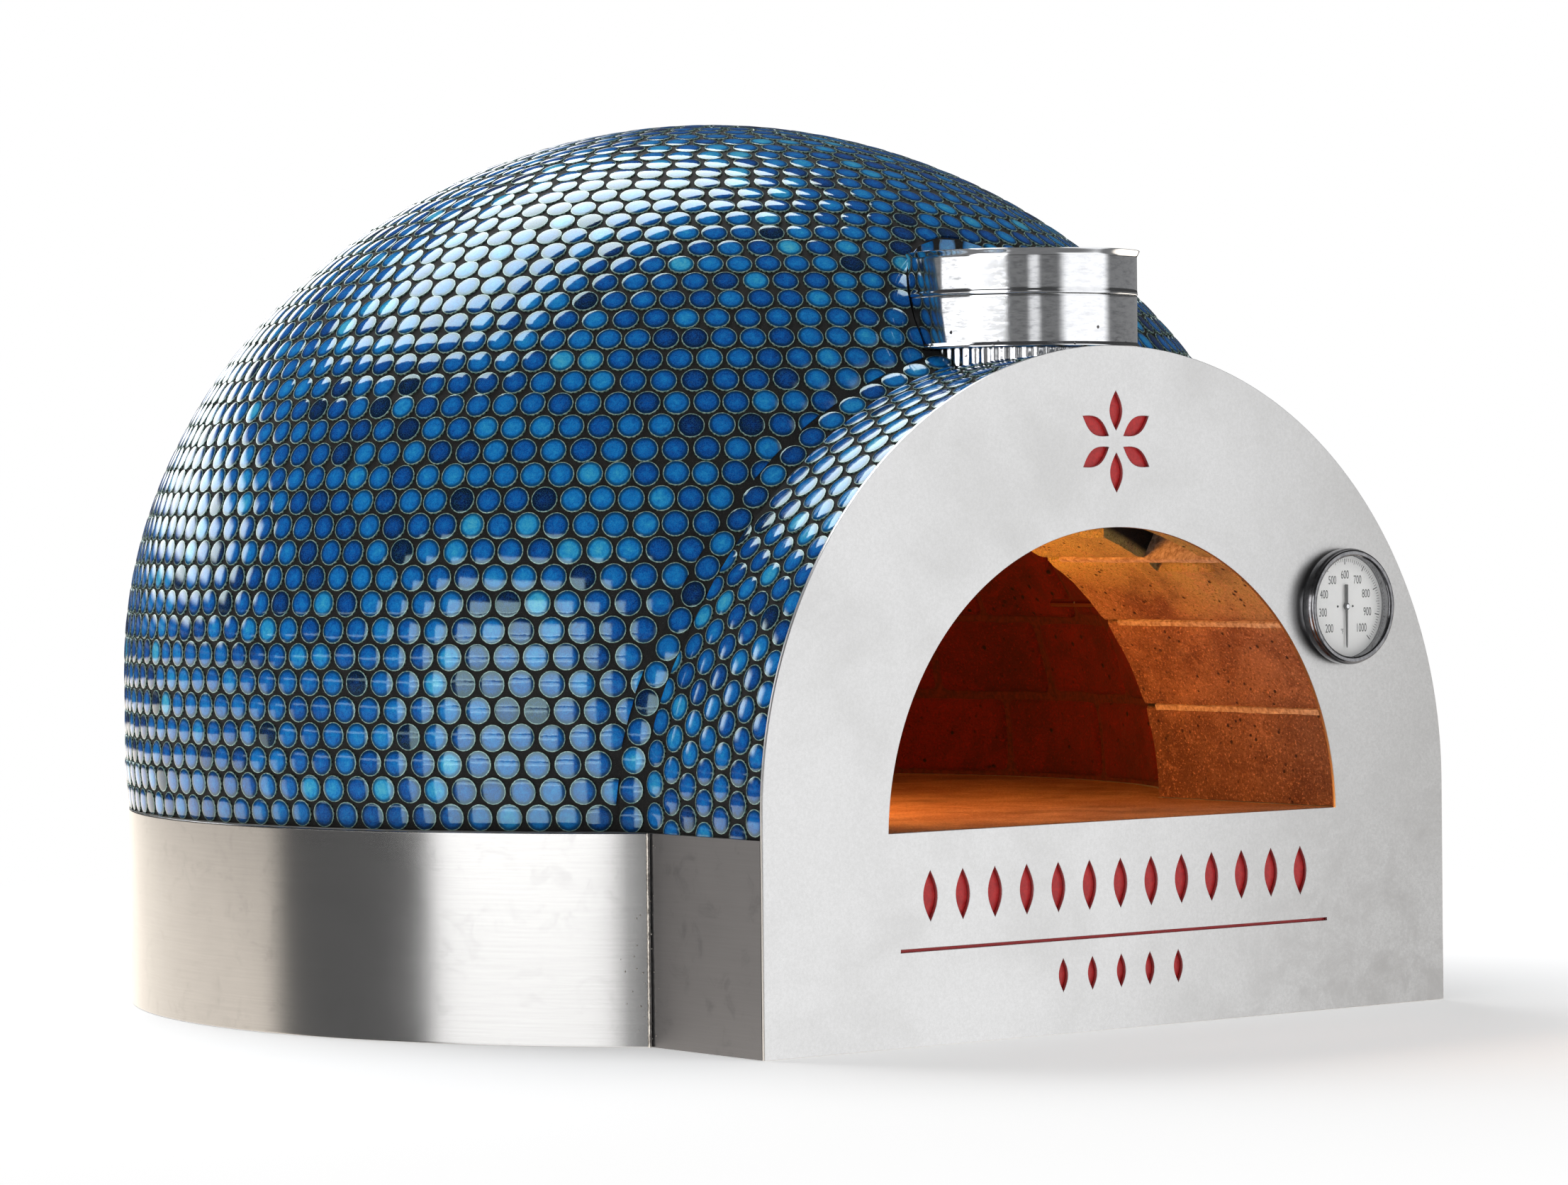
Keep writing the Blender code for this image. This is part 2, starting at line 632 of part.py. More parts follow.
def coil(inner, outer, low, high, turns, steps):
    """A flat strip wound edge on: a square section carried round and up a helix."""
    bm = bmesh.new()
    pitch = (high - low) / turns
    strip = 0.5 * pitch
    total = turns * steps
    rings = []
    for step in range(total + 1):
        t = math.tau * step / steps
        base = low + (high - low - strip) * step / total
        corners = ((inner, base), (outer, base), (outer, base + strip), (inner, base + strip))
        rings.append([bm.verts.new((r * math.cos(t), r * math.sin(t), z)) for r, z in corners])
    for a, b in zip(rings, rings[1:]):
        for i in range(4):
            bm.faces.new((a[i], a[(i + 1) % 4], b[(i + 1) % 4], b[i]))
    bm.faces.new(rings[0][::-1])
    bm.faces.new(rings[-1])
    return bm


def main():
    clear_scene()
    steel = make_material("brushed_steel", (0.62, 0.61, 0.59), 0.32, 1.0)
    bright = make_material("polished_steel", (0.72, 0.71, 0.70), 0.12, 1.0)
    weld = make_material("weld", (0.40, 0.37, 0.34), 0.50, 1.0)
    red = make_material("red_sheet", (0.55, 0.02, 0.02), 0.35)
    concrete = make_material("concrete", (0.42, 0.40, 0.37), 0.90)
    firebrick = make_material("firebrick", (0.62, 0.27, 0.12), 0.85)
    blanket = make_material("ceramic_blanket", (0.85, 0.84, 0.80), 0.95)
    render = make_material("render", (0.45, 0.44, 0.42), 0.90)
    tiles = make_material("dome_tile", (0.01, 0.13, 0.42), 0.12)
    arch_tiles = make_material("arch_tile", (0.01, 0.16, 0.48), 0.12)
    clear = make_material("clear_glass", (0.9, 0.95, 0.95), 0.03, 0.0, 0.3)
    white = make_material("dial_white", (0.88, 0.88, 0.86), 0.45)
    black = make_material("needle_black", (0.02, 0.02, 0.02), 0.40)
    brass = make_material("brass", (0.60, 0.45, 0.20), 0.35, 1.0)
    make_base(steel, concrete, weld)
    make_corner_angles(steel)
    make_hearth(firebrick)
    make_plate(steel, red)
    make_courses(firebrick)
    make_entry_arch(firebrick)
    make_shells(blanket, render, tiles, arch_tiles)
    make_flue(bright, blanket)
    make_gauge(bright, clear, white, black, brass)


main()
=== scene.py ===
import math
import random

import bmesh
import bpy
from mathutils import Matrix, Vector, noise


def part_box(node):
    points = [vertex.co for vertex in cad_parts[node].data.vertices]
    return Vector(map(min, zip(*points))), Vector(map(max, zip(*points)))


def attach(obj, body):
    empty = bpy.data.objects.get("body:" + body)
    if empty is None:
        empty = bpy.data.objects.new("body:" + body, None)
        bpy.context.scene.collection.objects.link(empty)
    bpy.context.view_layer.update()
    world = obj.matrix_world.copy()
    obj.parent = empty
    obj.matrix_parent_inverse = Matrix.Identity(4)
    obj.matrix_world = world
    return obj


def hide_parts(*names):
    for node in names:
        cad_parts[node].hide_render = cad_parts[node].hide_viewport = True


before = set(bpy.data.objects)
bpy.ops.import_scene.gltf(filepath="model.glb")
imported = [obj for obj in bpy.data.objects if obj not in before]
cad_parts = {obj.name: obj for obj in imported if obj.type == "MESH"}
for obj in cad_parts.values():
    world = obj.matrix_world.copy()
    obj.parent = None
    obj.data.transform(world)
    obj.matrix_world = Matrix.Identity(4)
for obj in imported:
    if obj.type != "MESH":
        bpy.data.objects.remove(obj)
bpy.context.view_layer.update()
scene = bpy.context.scene
scene.view_settings.view_transform = "Standard"

# Places that several pieces share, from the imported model
plateLow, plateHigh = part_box("front_plate")
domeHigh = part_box("dome_mosaic")[1]
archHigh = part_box("arch_mosaic")[1]
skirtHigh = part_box("base_skirt")[1]
collarLow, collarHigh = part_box("flue_collar_lower")
rimLow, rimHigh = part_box("flue_collar_upper")
bezelLow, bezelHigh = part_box("gauge_bezel")

floorHeight = skirtHigh.z              # cooking floor and top of the skirt
plateHalf = plateHigh.x
archHalf = archHigh.x
archCentre = plateHigh.z - plateHalf   # height where the plate's round top starts
domeRadius = domeHigh.x
domeAxis = domeHigh.y - domeRadius
domeTop = domeHigh.z
flueAxis = (collarLow.y + collarHigh.y) / 2
mouthCentre = 0.148                    # height of the centre of the mouth's arc
mouthRadius = 0.2175
archInner = mouthRadius + 0.0025         # inner face of the entry arch
dialCentre = (bezelLow + bezelHigh) / 2
stemBore = 0.0062                      # hole for the thermometer's stem
up = Vector((0, 0, 1))


# Node trees: a Wire is a socket that takes part in plain arithmetic
class Wire:
    def __init__(self, nodes, socket):
        self.nodes = nodes
        self.socket = socket

    def __add__(self, other):
        return self.nodes.maths("ADD", self, other)

    def __sub__(self, other):
        return self.nodes.maths("SUBTRACT", self, other)

    def __rsub__(self, other):
        return self.nodes.maths("SUBTRACT", other, self)

    def __mul__(self, other):
        return self.nodes.maths("MULTIPLY", self, other)

    def __truediv__(self, other):
        return self.nodes.maths("DIVIDE", self, other)

    __radd__ = __add__
    __rmul__ = __mul__

    def ramp(self, *stops):
        return self.nodes.node("ShaderNodeValToRGB", {"stops": stops}, {0: self})

    def fade(self, start, end):
        # 0 before start and 1 after end, or the other way round where end is the lower one
        limits = {0: self, 1: min(start, end), 2: max(start, end), 3: 0.0, 4: 1.0}
        if end < start:
            limits[3], limits[4] = 1.0, 0.0
        return self.nodes.node("ShaderNodeMapRange", {"interpolation_type": "SMOOTHSTEP"}, limits)


class Nodes:
    def __init__(self, tree):
        self.tree = tree

    def node(self, kind, settings=None, inputs=None, output=0):
        made = self.tree.nodes.new(kind)
        for key, value in (settings or {}).items():
            if key == "stops":
                self.setStops(made.color_ramp.elements, value)
            else:
                setattr(made, key, value)
        for key, value in (inputs or {}).items():
            self.join(value, made.inputs[key])
        return Wire(self, made.outputs[output])

    def setStops(self, elements, stops):
        elements.remove(elements[-1])
        for i, (spot, shade) in enumerate(stops):
            element = elements[0] if i == 0 else elements.new(spot)
            element.position = spot
            element.color = (*shade, 1) if isinstance(shade, tuple) else (shade, shade, shade, 1)

    def join(self, value, socket):
        if isinstance(value, Wire):
            self.tree.links.new(value.socket, socket)
        elif socket.type == "RGBA":
            socket.default_value = (*value, 1) if isinstance(value, tuple) else (value, value, value, 1)
        else:
            socket.default_value = value

    def maths(self, operation, first, second=0.0):
        return self.node("ShaderNodeMath", {"operation": operation}, {0: first, 1: second})

    def mix(self, factor, first, second, blend="MIX"):
        settings = {"data_type": "RGBA", "blend_type": blend}
        return self.node("ShaderNodeMix", settings, {0: factor, 6: first, 7: second}, 2)


class Finish(Nodes):
    def __init__(self, name, **constants):
        self.material = bpy.data.materials.new(name)
        self.material.use_nodes = True
        super().__init__(self.material.node_tree)
        self.shader = self.tree.nodes["Principled BSDF"]
        self.place = self.node("ShaderNodeTexCoord", {}, {}, "Object")
        for key, value in constants.items():
            self.set(key.replace("_", " "), value)

    def set(self, socket, value):
        self.join(value, self.shader.inputs[socket])

    def stretched(self, scale, turn=(0, 0, 0)):
        return self.node("ShaderNodeMapping", {}, {"Vector": self.place, "Scale": scale, "Rotation": turn})

    def noise(self, scale, detail=3.0, roughness=0.55, vector=None, distortion=0.0):
        inputs = {"Vector": vector or self.place, "Scale": scale, "Detail": detail,
                  "Roughness": roughness, "Distortion": distortion}
        return self.node("ShaderNodeTexNoise", {}, inputs)

    def cells(self, scale, feature="F1", vector=None, randomness=1.0):
        inputs = {"Vector": vector or self.place, "Scale": scale, "Randomness": randomness}
        return self.node("ShaderNodeTexVoronoi", {"feature": feature}, inputs)

    def height(self, height, distance, strength=1.0, under=None):
        inputs = {"Height": height, "Distance": distance, "Strength": strength}
        if under:
            inputs["Normal"] = under
        return self.node("ShaderNodeBump", {}, inputs)

    def part(self, axis):
        return self.node("ShaderNodeSeparateXYZ", {}, {0: self.place}, axis)


# Meshes
def cleaned(bm):
    # Welds doubled vertices and points every face outwards
    bmesh.ops.remove_doubles(bm, verts=bm.verts, dist=1e-6)
    bmesh.ops.recalc_face_normals(bm, faces=bm.faces)
    return bm


def meshFrom(name, bm):
    mesh = bpy.data.meshes.new(name)
    bm.to_mesh(mesh)
    bm.free()
    return mesh


def absorb(bm, mesh):
    bm.from_mesh(mesh)
    bpy.data.meshes.remove(mesh)
    return bm


def shade(mesh, sharp):
    mesh.shade_smooth()
    mesh.set_sharp_from_angle(angle=math.radians(sharp))


def onlyKind(items, kind):
    return [item for item in items if isinstance(item, kind)]


def makePiece(name, bm, finish, body="oven", replaced=(), sharp=35, clean=True):
    mesh = meshFrom(name, cleaned(bm) if clean else bm)
    return placePiece(name, mesh, finish, body, replaced, sharp)


def placePiece(name, mesh, finish, body="oven", replaced=(), sharp=35):
    shade(mesh, sharp)
    mesh.materials.clear()
    mesh.materials.append(finish.material)
    piece = bpy.data.objects.new(name, mesh)
    scene.collection.objects.link(piece)
    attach(piece, body)
    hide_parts(*replaced)
    return piece


def turned(profile, steps, centre=(0, 0, 0), angle=math.tau, start=0.0):
    # A closed profile of (radius, height) turned round an upright axis
    bm = bmesh.new()
    verts = [bm.verts.new((radius, 0, height)) for radius, height in profile]
    edges = [bm.edges.new(pair) for pair in zip(verts, verts[1:])]
    if profile[0][0] > 0 or profile[-1][0] > 0:
        edges.append(bm.edges.new((verts[-1], verts[0])))
    bmesh.ops.rotate(bm, verts=bm.verts, matrix=Matrix.Rotation(start, 3, "Z"))
    full = angle == math.tau
    spun = bmesh.ops.spin(bm, geom=verts + edges, cent=(0, 0, 0), axis=(0, 0, 1), angle=angle,
                          steps=steps, use_merge=full)
    if not full:
        bmesh.ops.contextual_create(bm, geom=edges)
        bmesh.ops.contextual_create(bm, geom=onlyKind(spun["geom_last"], bmesh.types.BMEdge))
    bmesh.ops.translate(bm, verts=bm.verts, vec=centre)
    return bm


def softened(points, size, steps=3):
    # Rounds every corner of a closed outline
    rounded = []
    for i, corner in enumerate(points):
        corner = Vector(corner)
        before = Vector(points[i - 1]) - corner
        after = Vector(points[(i + 1) % len(points)]) - corner
        first = corner + before.normalized() * min(size, before.length * 0.45)
        last = corner + after.normalized() * min(size, after.length * 0.45)
        for step in range(steps + 1):
            t = step / steps
            rounded.append(tuple(first * (1 - t) ** 2 + corner * 2 * t * (1 - t) + last * t ** 2))
    return rounded


def held(points, size=0.0008):
    # Adds a point just inside each end of every long straight run, so the run keeps its own shading
    kept = []
    for i, point in enumerate(points):
        point = Vector(point)
        after = Vector(points[(i + 1) % len(points)])
        kept.append(tuple(point))
        if (after - point).length > 8 * size:
            step = (after - point).normalized() * size
            kept += [tuple(point + step), tuple(after - step)]
    return kept


def arc(radius, start, end, steps, centre=(0, 0)):
    turns = [math.radians(start + (end - start) * i / steps) for i in range(steps + 1)]
    return [(centre[0] + radius * math.cos(t), centre[1] + radius * math.sin(t)) for t in turns]


def sheetMesh(name, outlines, thickness, edge):
    # A flat sheet with holes and soft edges, drawn in X and Y with its front at Z = 0
    curve = bpy.data.curves.new(name, "CURVE")
    curve.dimensions = "2D"
    curve.fill_mode = "BOTH"
    curve.extrude = thickness / 2 - edge
    curve.bevel_depth = edge
    curve.bevel_resolution = 1
    curve.offset = -edge
    for outline in outlines:
        spline = curve.splines.new("POLY")
        spline.points.add(len(outline) - 1)
        for point, (x, y) in zip(spline.points, outline):
            point.co = (x, y, 0, 1)
        spline.use_cyclic_u = True
    mesh = meshOf(bpy.data.objects.new(name, curve))
    bpy.data.curves.remove(curve)
    mesh.transform(Matrix.Translation((0, 0, -thickness / 2)))
    return mesh


def meshOf(drawn):
    scene.collection.objects.link(drawn)
    bpy.context.view_layer.update()
    mesh = bpy.data.meshes.new_from_object(drawn.evaluated_get(bpy.context.evaluated_depsgraph_get()))
    bpy.data.objects.remove(drawn)
    return mesh


def carve(piece, *cutters):
    for cutter in cutters:
        step = piece.modifiers.new("carve", "BOOLEAN")
        step.operation = "DIFFERENCE"
        step.solver = "EXACT"
        step.object = cutter
    bpy.context.view_layer.update()
    mesh = bpy.data.meshes.new_from_object(piece.evaluated_get(bpy.context.evaluated_depsgraph_get()))
    piece.modifiers.clear()
    shade(mesh, 35)
    piece.data = mesh


def makeCutter(name, bm):
    cutter = bpy.data.objects.new(name, meshFrom(name, cleaned(bm)))
    scene.collection.objects.link(cutter)
    cutter.hide_render = True
    return cutter


def extruded(outline, start, end):
    # An outline drawn in X and Z, carried along Y
    bm = bmesh.new()
    face = bm.faces.new([bm.verts.new((x, start, z)) for x, z in outline])
    grown = bmesh.ops.extrude_face_region(bm, geom=[face], use_keep_orig=True)
    moved = onlyKind(grown["geom"], bmesh.types.BMVert)
    bmesh.ops.translate(bm, verts=moved, vec=(0, end - start, 0))
    return bm


def bridged(bm, loops):
    # Joins closed loops of edges one after another and closes both ends
    for first, second in zip(loops, loops[1:]):
        bmesh.ops.bridge_loops(bm, edges=first + second)
    for end in (loops[0], loops[-1]):
        bmesh.ops.contextual_create(bm, geom=end)
    return bm


def roughen(bm, size, amount, detail=3):
    # Pushes every vertex along its normal by a fractal noise
    bm.normal_update()
    moves = [(v, v.normal * amount * noise.fractal(v.co / size, 1.0, 2.0, detail)) for v in bm.verts]
    for vert, move in moves:
        vert.co += move


def faceOut(mesh, y):
    # Turns a sheet drawn in X and Y to face the front, at a depth
    mesh.transform(Matrix.Translation((0, y, 0)) @ Matrix.Rotation(math.pi / 2, 4, "X"))
    return mesh


# Finishes
plateLook = {"grain": 1500, "sand": 520}


def makePlateSteel():
    finish = Finish("satin_sheet", Metallic=1.0)
    x = finish.part(0)
    z = finish.part(2)
    grain = finish.noise(plateLook["grain"], 2, 0.7)
    sand = finish.noise(plateLook["sand"], 5, 0.85).fade(0.30, 0.72)
    cloud = finish.noise(9, 4, 0.6, distortion=0.4)
    handled = (x + z * -0.4).fade(-0.05, 0.28) * z.fade(0.30, 0.02)
    bright = finish.mix(sand, (0.66, 0.66, 0.66), (0.76, 0.76, 0.765))
    dull = finish.mix(sand, (0.45, 0.445, 0.44), (0.57, 0.565, 0.56))
    tint = finish.mix((x + z * -0.35).fade(-0.12, 0.30), bright, dull)
    tint = finish.mix(cloud.fade(0.42, 0.75) * 0.30, tint, (0.50, 0.495, 0.485))
    worn = handled * finish.noise(26, 6, 0.8, distortion=0.6).fade(0.40, 0.70)
    finish.set("Base Color", finish.mix(worn * sand * 0.55, tint, (0.34, 0.32, 0.31)))
    finish.set("Roughness", 0.30 + grain * 0.08 + cloud * 0.06 + worn * 0.08)
    finish.set("Normal", finish.height(grain + sand * 0.6, 0.00002, 0.30))
    return finish


def makeRolledSteel(name, tone, roughness, streak):
    finish = Finish(name, Metallic=1.0)
    lines = finish.noise(14, 5, 0.65, finish.stretched((1, 1, 60)))
    cloud = finish.noise(11, 4, 0.6, distortion=0.6)
    speck = finish.noise(700, 2, 0.6)
    light = tuple(c * 1.02 for c in tone)
    dark = tuple(c * 0.97 for c in tone)
    base = finish.mix(lines.fade(0.3, 0.7), dark, light)
    blotch = finish.noise(38, 5, 0.7, distortion=1.0).fade(0.52, 0.70)
    base = finish.mix(blotch * streak, base, tuple(c * 0.55 for c in tone))
    finish.set("Base Color", base)
    finish.set("Roughness", roughness + cloud * 0.08 + speck * 0.04 + blotch * streak * 0.15)
    finish.set("Normal", finish.height(speck, 0.000003, 0.15))
    return finish


def makeFlueSteel():
    finish = Finish("mirror_sheet", Metallic=1.0)
    dents = finish.noise(26, 3, 0.5, finish.stretched((1, 1, 0.6)))
    haze = finish.noise(90, 5, 0.7, finish.stretched((1, 1, 4)))
    pits = finish.cells(120).fade(0.16, 0.10) * finish.noise(34, 2).fade(0.60, 0.66)
    base = finish.mix(haze.fade(0.35, 0.75), (0.78, 0.79, 0.81), (0.66, 0.67, 0.70))
    finish.set("Base Color", finish.mix(pits, base, (0.12, 0.11, 0.11)))
    finish.set("Roughness", 0.085 + haze.fade(0.45, 0.75) * 0.08 + pits * 0.4)
    finish.set("Normal", finish.height(dents, 0.0011, 0.20, finish.height(pits, 0.0004, 0.6)))
    return finish


def makeGlaze():
    finish = Finish("blue_glaze", IOR=1.75, Specular_Tint=(0.66, 0.96, 1.0))
    disc = finish.node("ShaderNodeUVMap", {"uv_map": "disc"})
    tone = finish.node("ShaderNodeAttribute", {"attribute_name": "tone"}, {}, "Fac")
    offset = finish.node("ShaderNodeVectorMath", {"operation": "SUBTRACT"}, {0: disc, 1: (0.5, 0.5, 0.0)})
    reach = finish.node("ShaderNodeVectorMath", {"operation": "LENGTH"}, {0: offset}, "Value") * 2.0
    mottle = finish.noise(230, 4, 0.7, distortion=0.8)
    speck = finish.noise(1100, 3, 0.75)
    crackle = finish.cells(620, "DISTANCE_TO_EDGE").fade(0.0, 0.10)
    shade = tone * 0.92 + 0.05 + (mottle - 0.5) * 0.60 + (speck - 0.5) * 0.45 + (0.55 - reach) * 0.22
    centre = shade.ramp((0.0, (0.0008, 0.005, 0.022)), (0.22, (0.0010, 0.024, 0.150)),
                        (0.45, (0.0012, 0.092, 0.430)), (0.68, (0.0060, 0.230, 0.660)),
                        (0.86, (0.030, 0.400, 0.740)), (1.0, (0.100, 0.560, 0.780)))
    centre = finish.mix((1 - crackle) * 0.16, centre, (0.10, 0.40, 0.62))
    pooled = finish.mix(tone.fade(0.1, 0.9), (0.001, 0.012, 0.045), (0.003, 0.060, 0.150))
    edge = reach + (finish.noise(420, 3, 0.6) - 0.5) * 0.10
    body = finish.mix(edge.fade(0.60, 0.82) * 0.85, centre, pooled)
    rim = finish.mix(finish.noise(600, 2).fade(0.3, 0.7), (0.10, 0.22, 0.19), (0.42, 0.56, 0.48))
    body = finish.mix(edge.fade(0.885, 0.93), body, rim)
    finish.set("Base Color", finish.mix(reach.fade(0.955, 0.985), body, (0.012, 0.020, 0.020)))
    finish.set("Roughness", 0.055 + speck * 0.03 + edge.fade(0.85, 0.95) * 0.10)
    finish.set("Normal", finish.height(finish.noise(260, 2, 0.5), 0.00010, 0.35))
    return finish


def makeGrout():
    finish = Finish("dark_grout")
    grain = finish.noise(1500, 3, 0.75)
    sand = finish.noise(2600, 1, 0.5).fade(0.66, 0.74)
    cloud = finish.noise(40, 4, 0.6)
    base = finish.mix(grain.fade(0.3, 0.7), (0.0025, 0.0025, 0.003), (0.012, 0.0115, 0.011))
    base = finish.mix(cloud.fade(0.45, 0.70) * 0.4, base, (0.018, 0.017, 0.016))
    finish.set("Base Color", finish.mix(sand * 0.5, base, (0.20, 0.19, 0.17)))
    finish.set("Roughness", 0.72 + grain * 0.2)
    finish.set("Normal", finish.height(grain + cloud, 0.0004, 0.8))
    return finish


def makeBrick(name, pale, deep, pitScale=130.0, paintedFirelight=None):
    # The optional last colour is the fire's yellow light, painted onto the highest surfaces; the lower
    # surfaces get painted shade
    finish = Finish(name)
    cloud = finish.noise(16, 5, 0.65, distortion=0.5)
    grit = finish.noise(480, 4, 0.75)
    pits = finish.cells(pitScale).fade(0.24, 0.12) * finish.noise(60, 3).fade(0.46, 0.60)
    soot = finish.noise(7, 5, 0.7).fade(0.50, 0.72)
    dust = finish.noise(30, 6, 0.75, distortion=1.0).fade(0.55, 0.68)
    rough = finish.noise(110, 6, 0.8, distortion=0.4)
    base = finish.mix(cloud.fade(0.32, 0.68), deep, pale)
    if paintedFirelight:
        high = finish.part(2) + (cloud - 0.5) * 0.12
        # Painted shade: the lower surfaces are darkened as if out of the fire's light
        base = finish.mix(high.fade(0.28, 0.20) * 0.5, base, tuple(c * 0.45 for c in deep))
        # Painted firelight: the highest surfaces take the yellow of the fire's light
        base = finish.mix(high.fade(0.28, 0.37), base, paintedFirelight)
    base = finish.mix(dust * 0.45, base, tuple(min(1.0, c * 1.4) for c in pale))
    base = finish.mix(grit.fade(0.54, 0.68) * 0.8, base, tuple(min(1.0, c * 1.9) for c in pale))
    base = finish.mix(grit.fade(0.46, 0.34) * 0.8, base, tuple(c * 0.40 for c in deep))
    base = finish.mix(soot * 0.55, base, tuple(c * 0.30 for c in deep))
    base = finish.mix(pits, base, tuple(c * 0.22 for c in deep))
    if paintedFirelight:
        # Black behind the worn face of the arch
        x, z = finish.part(0), finish.part(2) - mouthCentre
        behind = (x * x + z * z).fade((archInner + 0.004) ** 2, (archInner + 0.010) ** 2)
        base = finish.mix(behind, base, (0.010, 0.005, 0.003))
    finish.set("Base Color", base)
    finish.set("Roughness", 0.80 + grit * 0.18)
    uneven = finish.height(cloud, 0.006, 0.6)
    finish.set("Normal", finish.height(grit * 1.2 - pits + rough, 0.0035, 1.0, uneven))
    return finish


def makePlain(name, low, high, scale, roughness, metallic=0.0, bump=0.0003):
    # Cast, woven or painted surfaces that need only a grain of their own
    finish = Finish(name, Metallic=metallic)
    grain = finish.noise(scale, 4, 0.65)
    finish.set("Base Color", finish.mix(grain.fade(0.3, 0.7), low, high))
    finish.set("Roughness", roughness + (grain - 0.5) * 0.15)
    finish.set("Normal", finish.height(grain, bump, 0.6))
    return finish


def makeGlass():
    finish = Finish("dial_glass", Base_Color=(0.95, 0.97, 0.98), IOR=1.5)
    smear = finish.noise(70, 3, 0.6, distortion=0.8)
    finish.set("Roughness", 0.02 + smear.fade(0.5, 0.8) * 0.05)
    finish.set("Alpha", 0.06 + smear.fade(0.55, 0.8) * 0.03)
    return finish


plateSteel = makePlateSteel()
skirtSteel = makeRolledSteel("rolled_sheet", (0.37, 0.366, 0.362), 0.11, 0.12)
panelSteel = makeRolledSteel("panel_sheet", (0.205, 0.207, 0.220), 0.30, 0.25)
flueSteel = makeFlueSteel()
weldSteel = makePlain("weld_bead", (0.30, 0.27, 0.24), (0.62, 0.58, 0.52), 420, 0.38, 1.0)
bezelSteel = makePlain("dark_bezel", (0.16, 0.16, 0.17), (0.26, 0.26, 0.27), 240, 0.14, 1.0, 0.00005)
redEnamel = makePlain("red_enamel", (0.46, 0.006, 0.010), (0.62, 0.016, 0.018), 300, 0.38)
glaze = makeGlaze()
grout = makeGrout()
# The entry brick's last colour is the fire's yellow light, painted onto its highest surfaces
archBrick = makeBrick("entry_brick", (0.44, 0.20, 0.105), (0.22, 0.075, 0.036), 130.0, (0.56, 0.42, 0.13))
# The wall bricks' dark, deep red is the chamber's shade and the fire's red light, painted into their colour
wallBrick = makeBrick("wall_brick", (0.19, 0.0062, 0.0030), (0.085, 0.0030, 0.0015), 90.0)
floorBrick = makeBrick("hearth_brick", (0.60, 0.30, 0.16), (0.38, 0.15, 0.070), 240.0)
mortar = makePlain("mortar", (0.22, 0.13, 0.08), (0.52, 0.37, 0.25), 260, 0.90, 0.0, 0.0015)
# Soot, with the chamber's shade and the fire's red light painted into its dark red
sootAndShadeMortar = makePlain("soot_and_shade_mortar", (0.03, 0.004, 0.002), (0.09, 0.012, 0.005), 260, 0.92, 0.0, 0.0015)
concrete = makePlain("cast_concrete", (0.26, 0.25, 0.23), (0.44, 0.42, 0.39), 90, 0.88, 0.0, 0.001)
woolFinish = makePlain("white_fibre", (0.66, 0.65, 0.61), (0.86, 0.85, 0.81), 150, 0.95, 0.0, 0.002)
renderFinish = makePlain("dark_render", (0.05, 0.048, 0.045), (0.13, 0.12, 0.11), 500, 0.90, 0.0, 0.001)
dialWhite = makePlain("dial_enamel", (0.95, 0.95, 0.94), (0.98, 0.98, 0.97), 500, 0.42, 0.0, 0.00002)
dialInk = makePlain("dial_ink", (0.006, 0.006, 0.007), (0.016, 0.016, 0.017), 800, 0.45, 0.0, 0.00002)
brass = makePlain("turned_brass", (0.50, 0.36, 0.14), (0.68, 0.52, 0.24), 200, 0.34, 1.0, 0.0001)
glass = makeGlass()
print("finishes ready")


# Front plate, its cut-outs and the sheets behind them
plateCuts = {
    "rosette": {"radius": 0.037, "petals": 6, "length": 0.78, "width": 0.42, "drop": 0.070},
    "slot": {"half": 0.2075, "height": 0.0684, "wide": 0.0022},
    "upper": {"count": 13, "length": 0.036, "half": 0.180, "away": 0.038},
    "lower": {"count": 5, "length": 0.024, "half": 0.056, "away": -0.026},
    "leafWidth": 0.36,
    "edge": 0.00035,
}


def leaf(length, width, centre, turn, steps=14):
    # A leaf with two pointed ends
    side = [(length * (i / steps - 0.5), math.sin(math.pi * i / steps) * width / 2) for i in range(steps + 1)]
    outline = side + [(x, -y) for x, y in side[-2:0:-1]]
    c, s = math.cos(turn), math.sin(turn)
    return [(centre[0] + c * x - s * y, centre[1] + s * x + c * y) for x, y in outline]


def makeFrontPlate():
    outer = [(plateHalf, 0)] + arc(plateHalf, 0, 180, 128, (0, archCentre)) + [(-plateHalf, 0)]
    start = math.degrees(math.asin((floorHeight - mouthCentre) / mouthRadius))
    outlines = [outer, arc(mouthRadius, start, 180 - start, 120, (0, mouthCentre))]
    rosette = plateCuts["rosette"]
    length = rosette["radius"] * rosette["length"]
    reach = rosette["radius"] - length / 2
    for petal in range(rosette["petals"]):
        turn = math.tau * (petal + 0.5) / rosette["petals"]
        centre = (reach * math.cos(turn), plateHigh.z - rosette["drop"] + reach * math.sin(turn))
        outlines.append(leaf(length, length * rosette["width"], centre, turn))
    slot = plateCuts["slot"]
    low = slot["height"] - slot["wide"] / 2
    high = slot["height"] + slot["wide"] / 2
    outlines.append([(-slot["half"], low), (slot["half"], low), (slot["half"], high), (-slot["half"], high)])
    for row in (plateCuts["upper"], plateCuts["lower"]):
        for i in range(row["count"]):
            centre = (row["half"] * (2 * i / (row["count"] - 1) - 1), slot["height"] + row["away"])
            outlines.append(leaf(row["length"], row["length"] * plateCuts["leafWidth"], centre, math.pi / 2))
    outlines.append(arc(stemBore, 0, 352, 44, (dialCentre.x, dialCentre.z)))
    mesh = sheetMesh("front_plate_sheet", outlines, plateHigh.y - plateLow.y, plateCuts["edge"])
    faceOut(mesh, plateLow.y)
    placePiece("front_plate_sheet", mesh, plateSteel, replaced=["front_plate"])


# Round skirt, side panels and the welds between them
skirtLook = {"sheet": 0.0015, "steps": 150, "beadSteps": 92, "beadRadius": 0.0013, "spatter": 26}


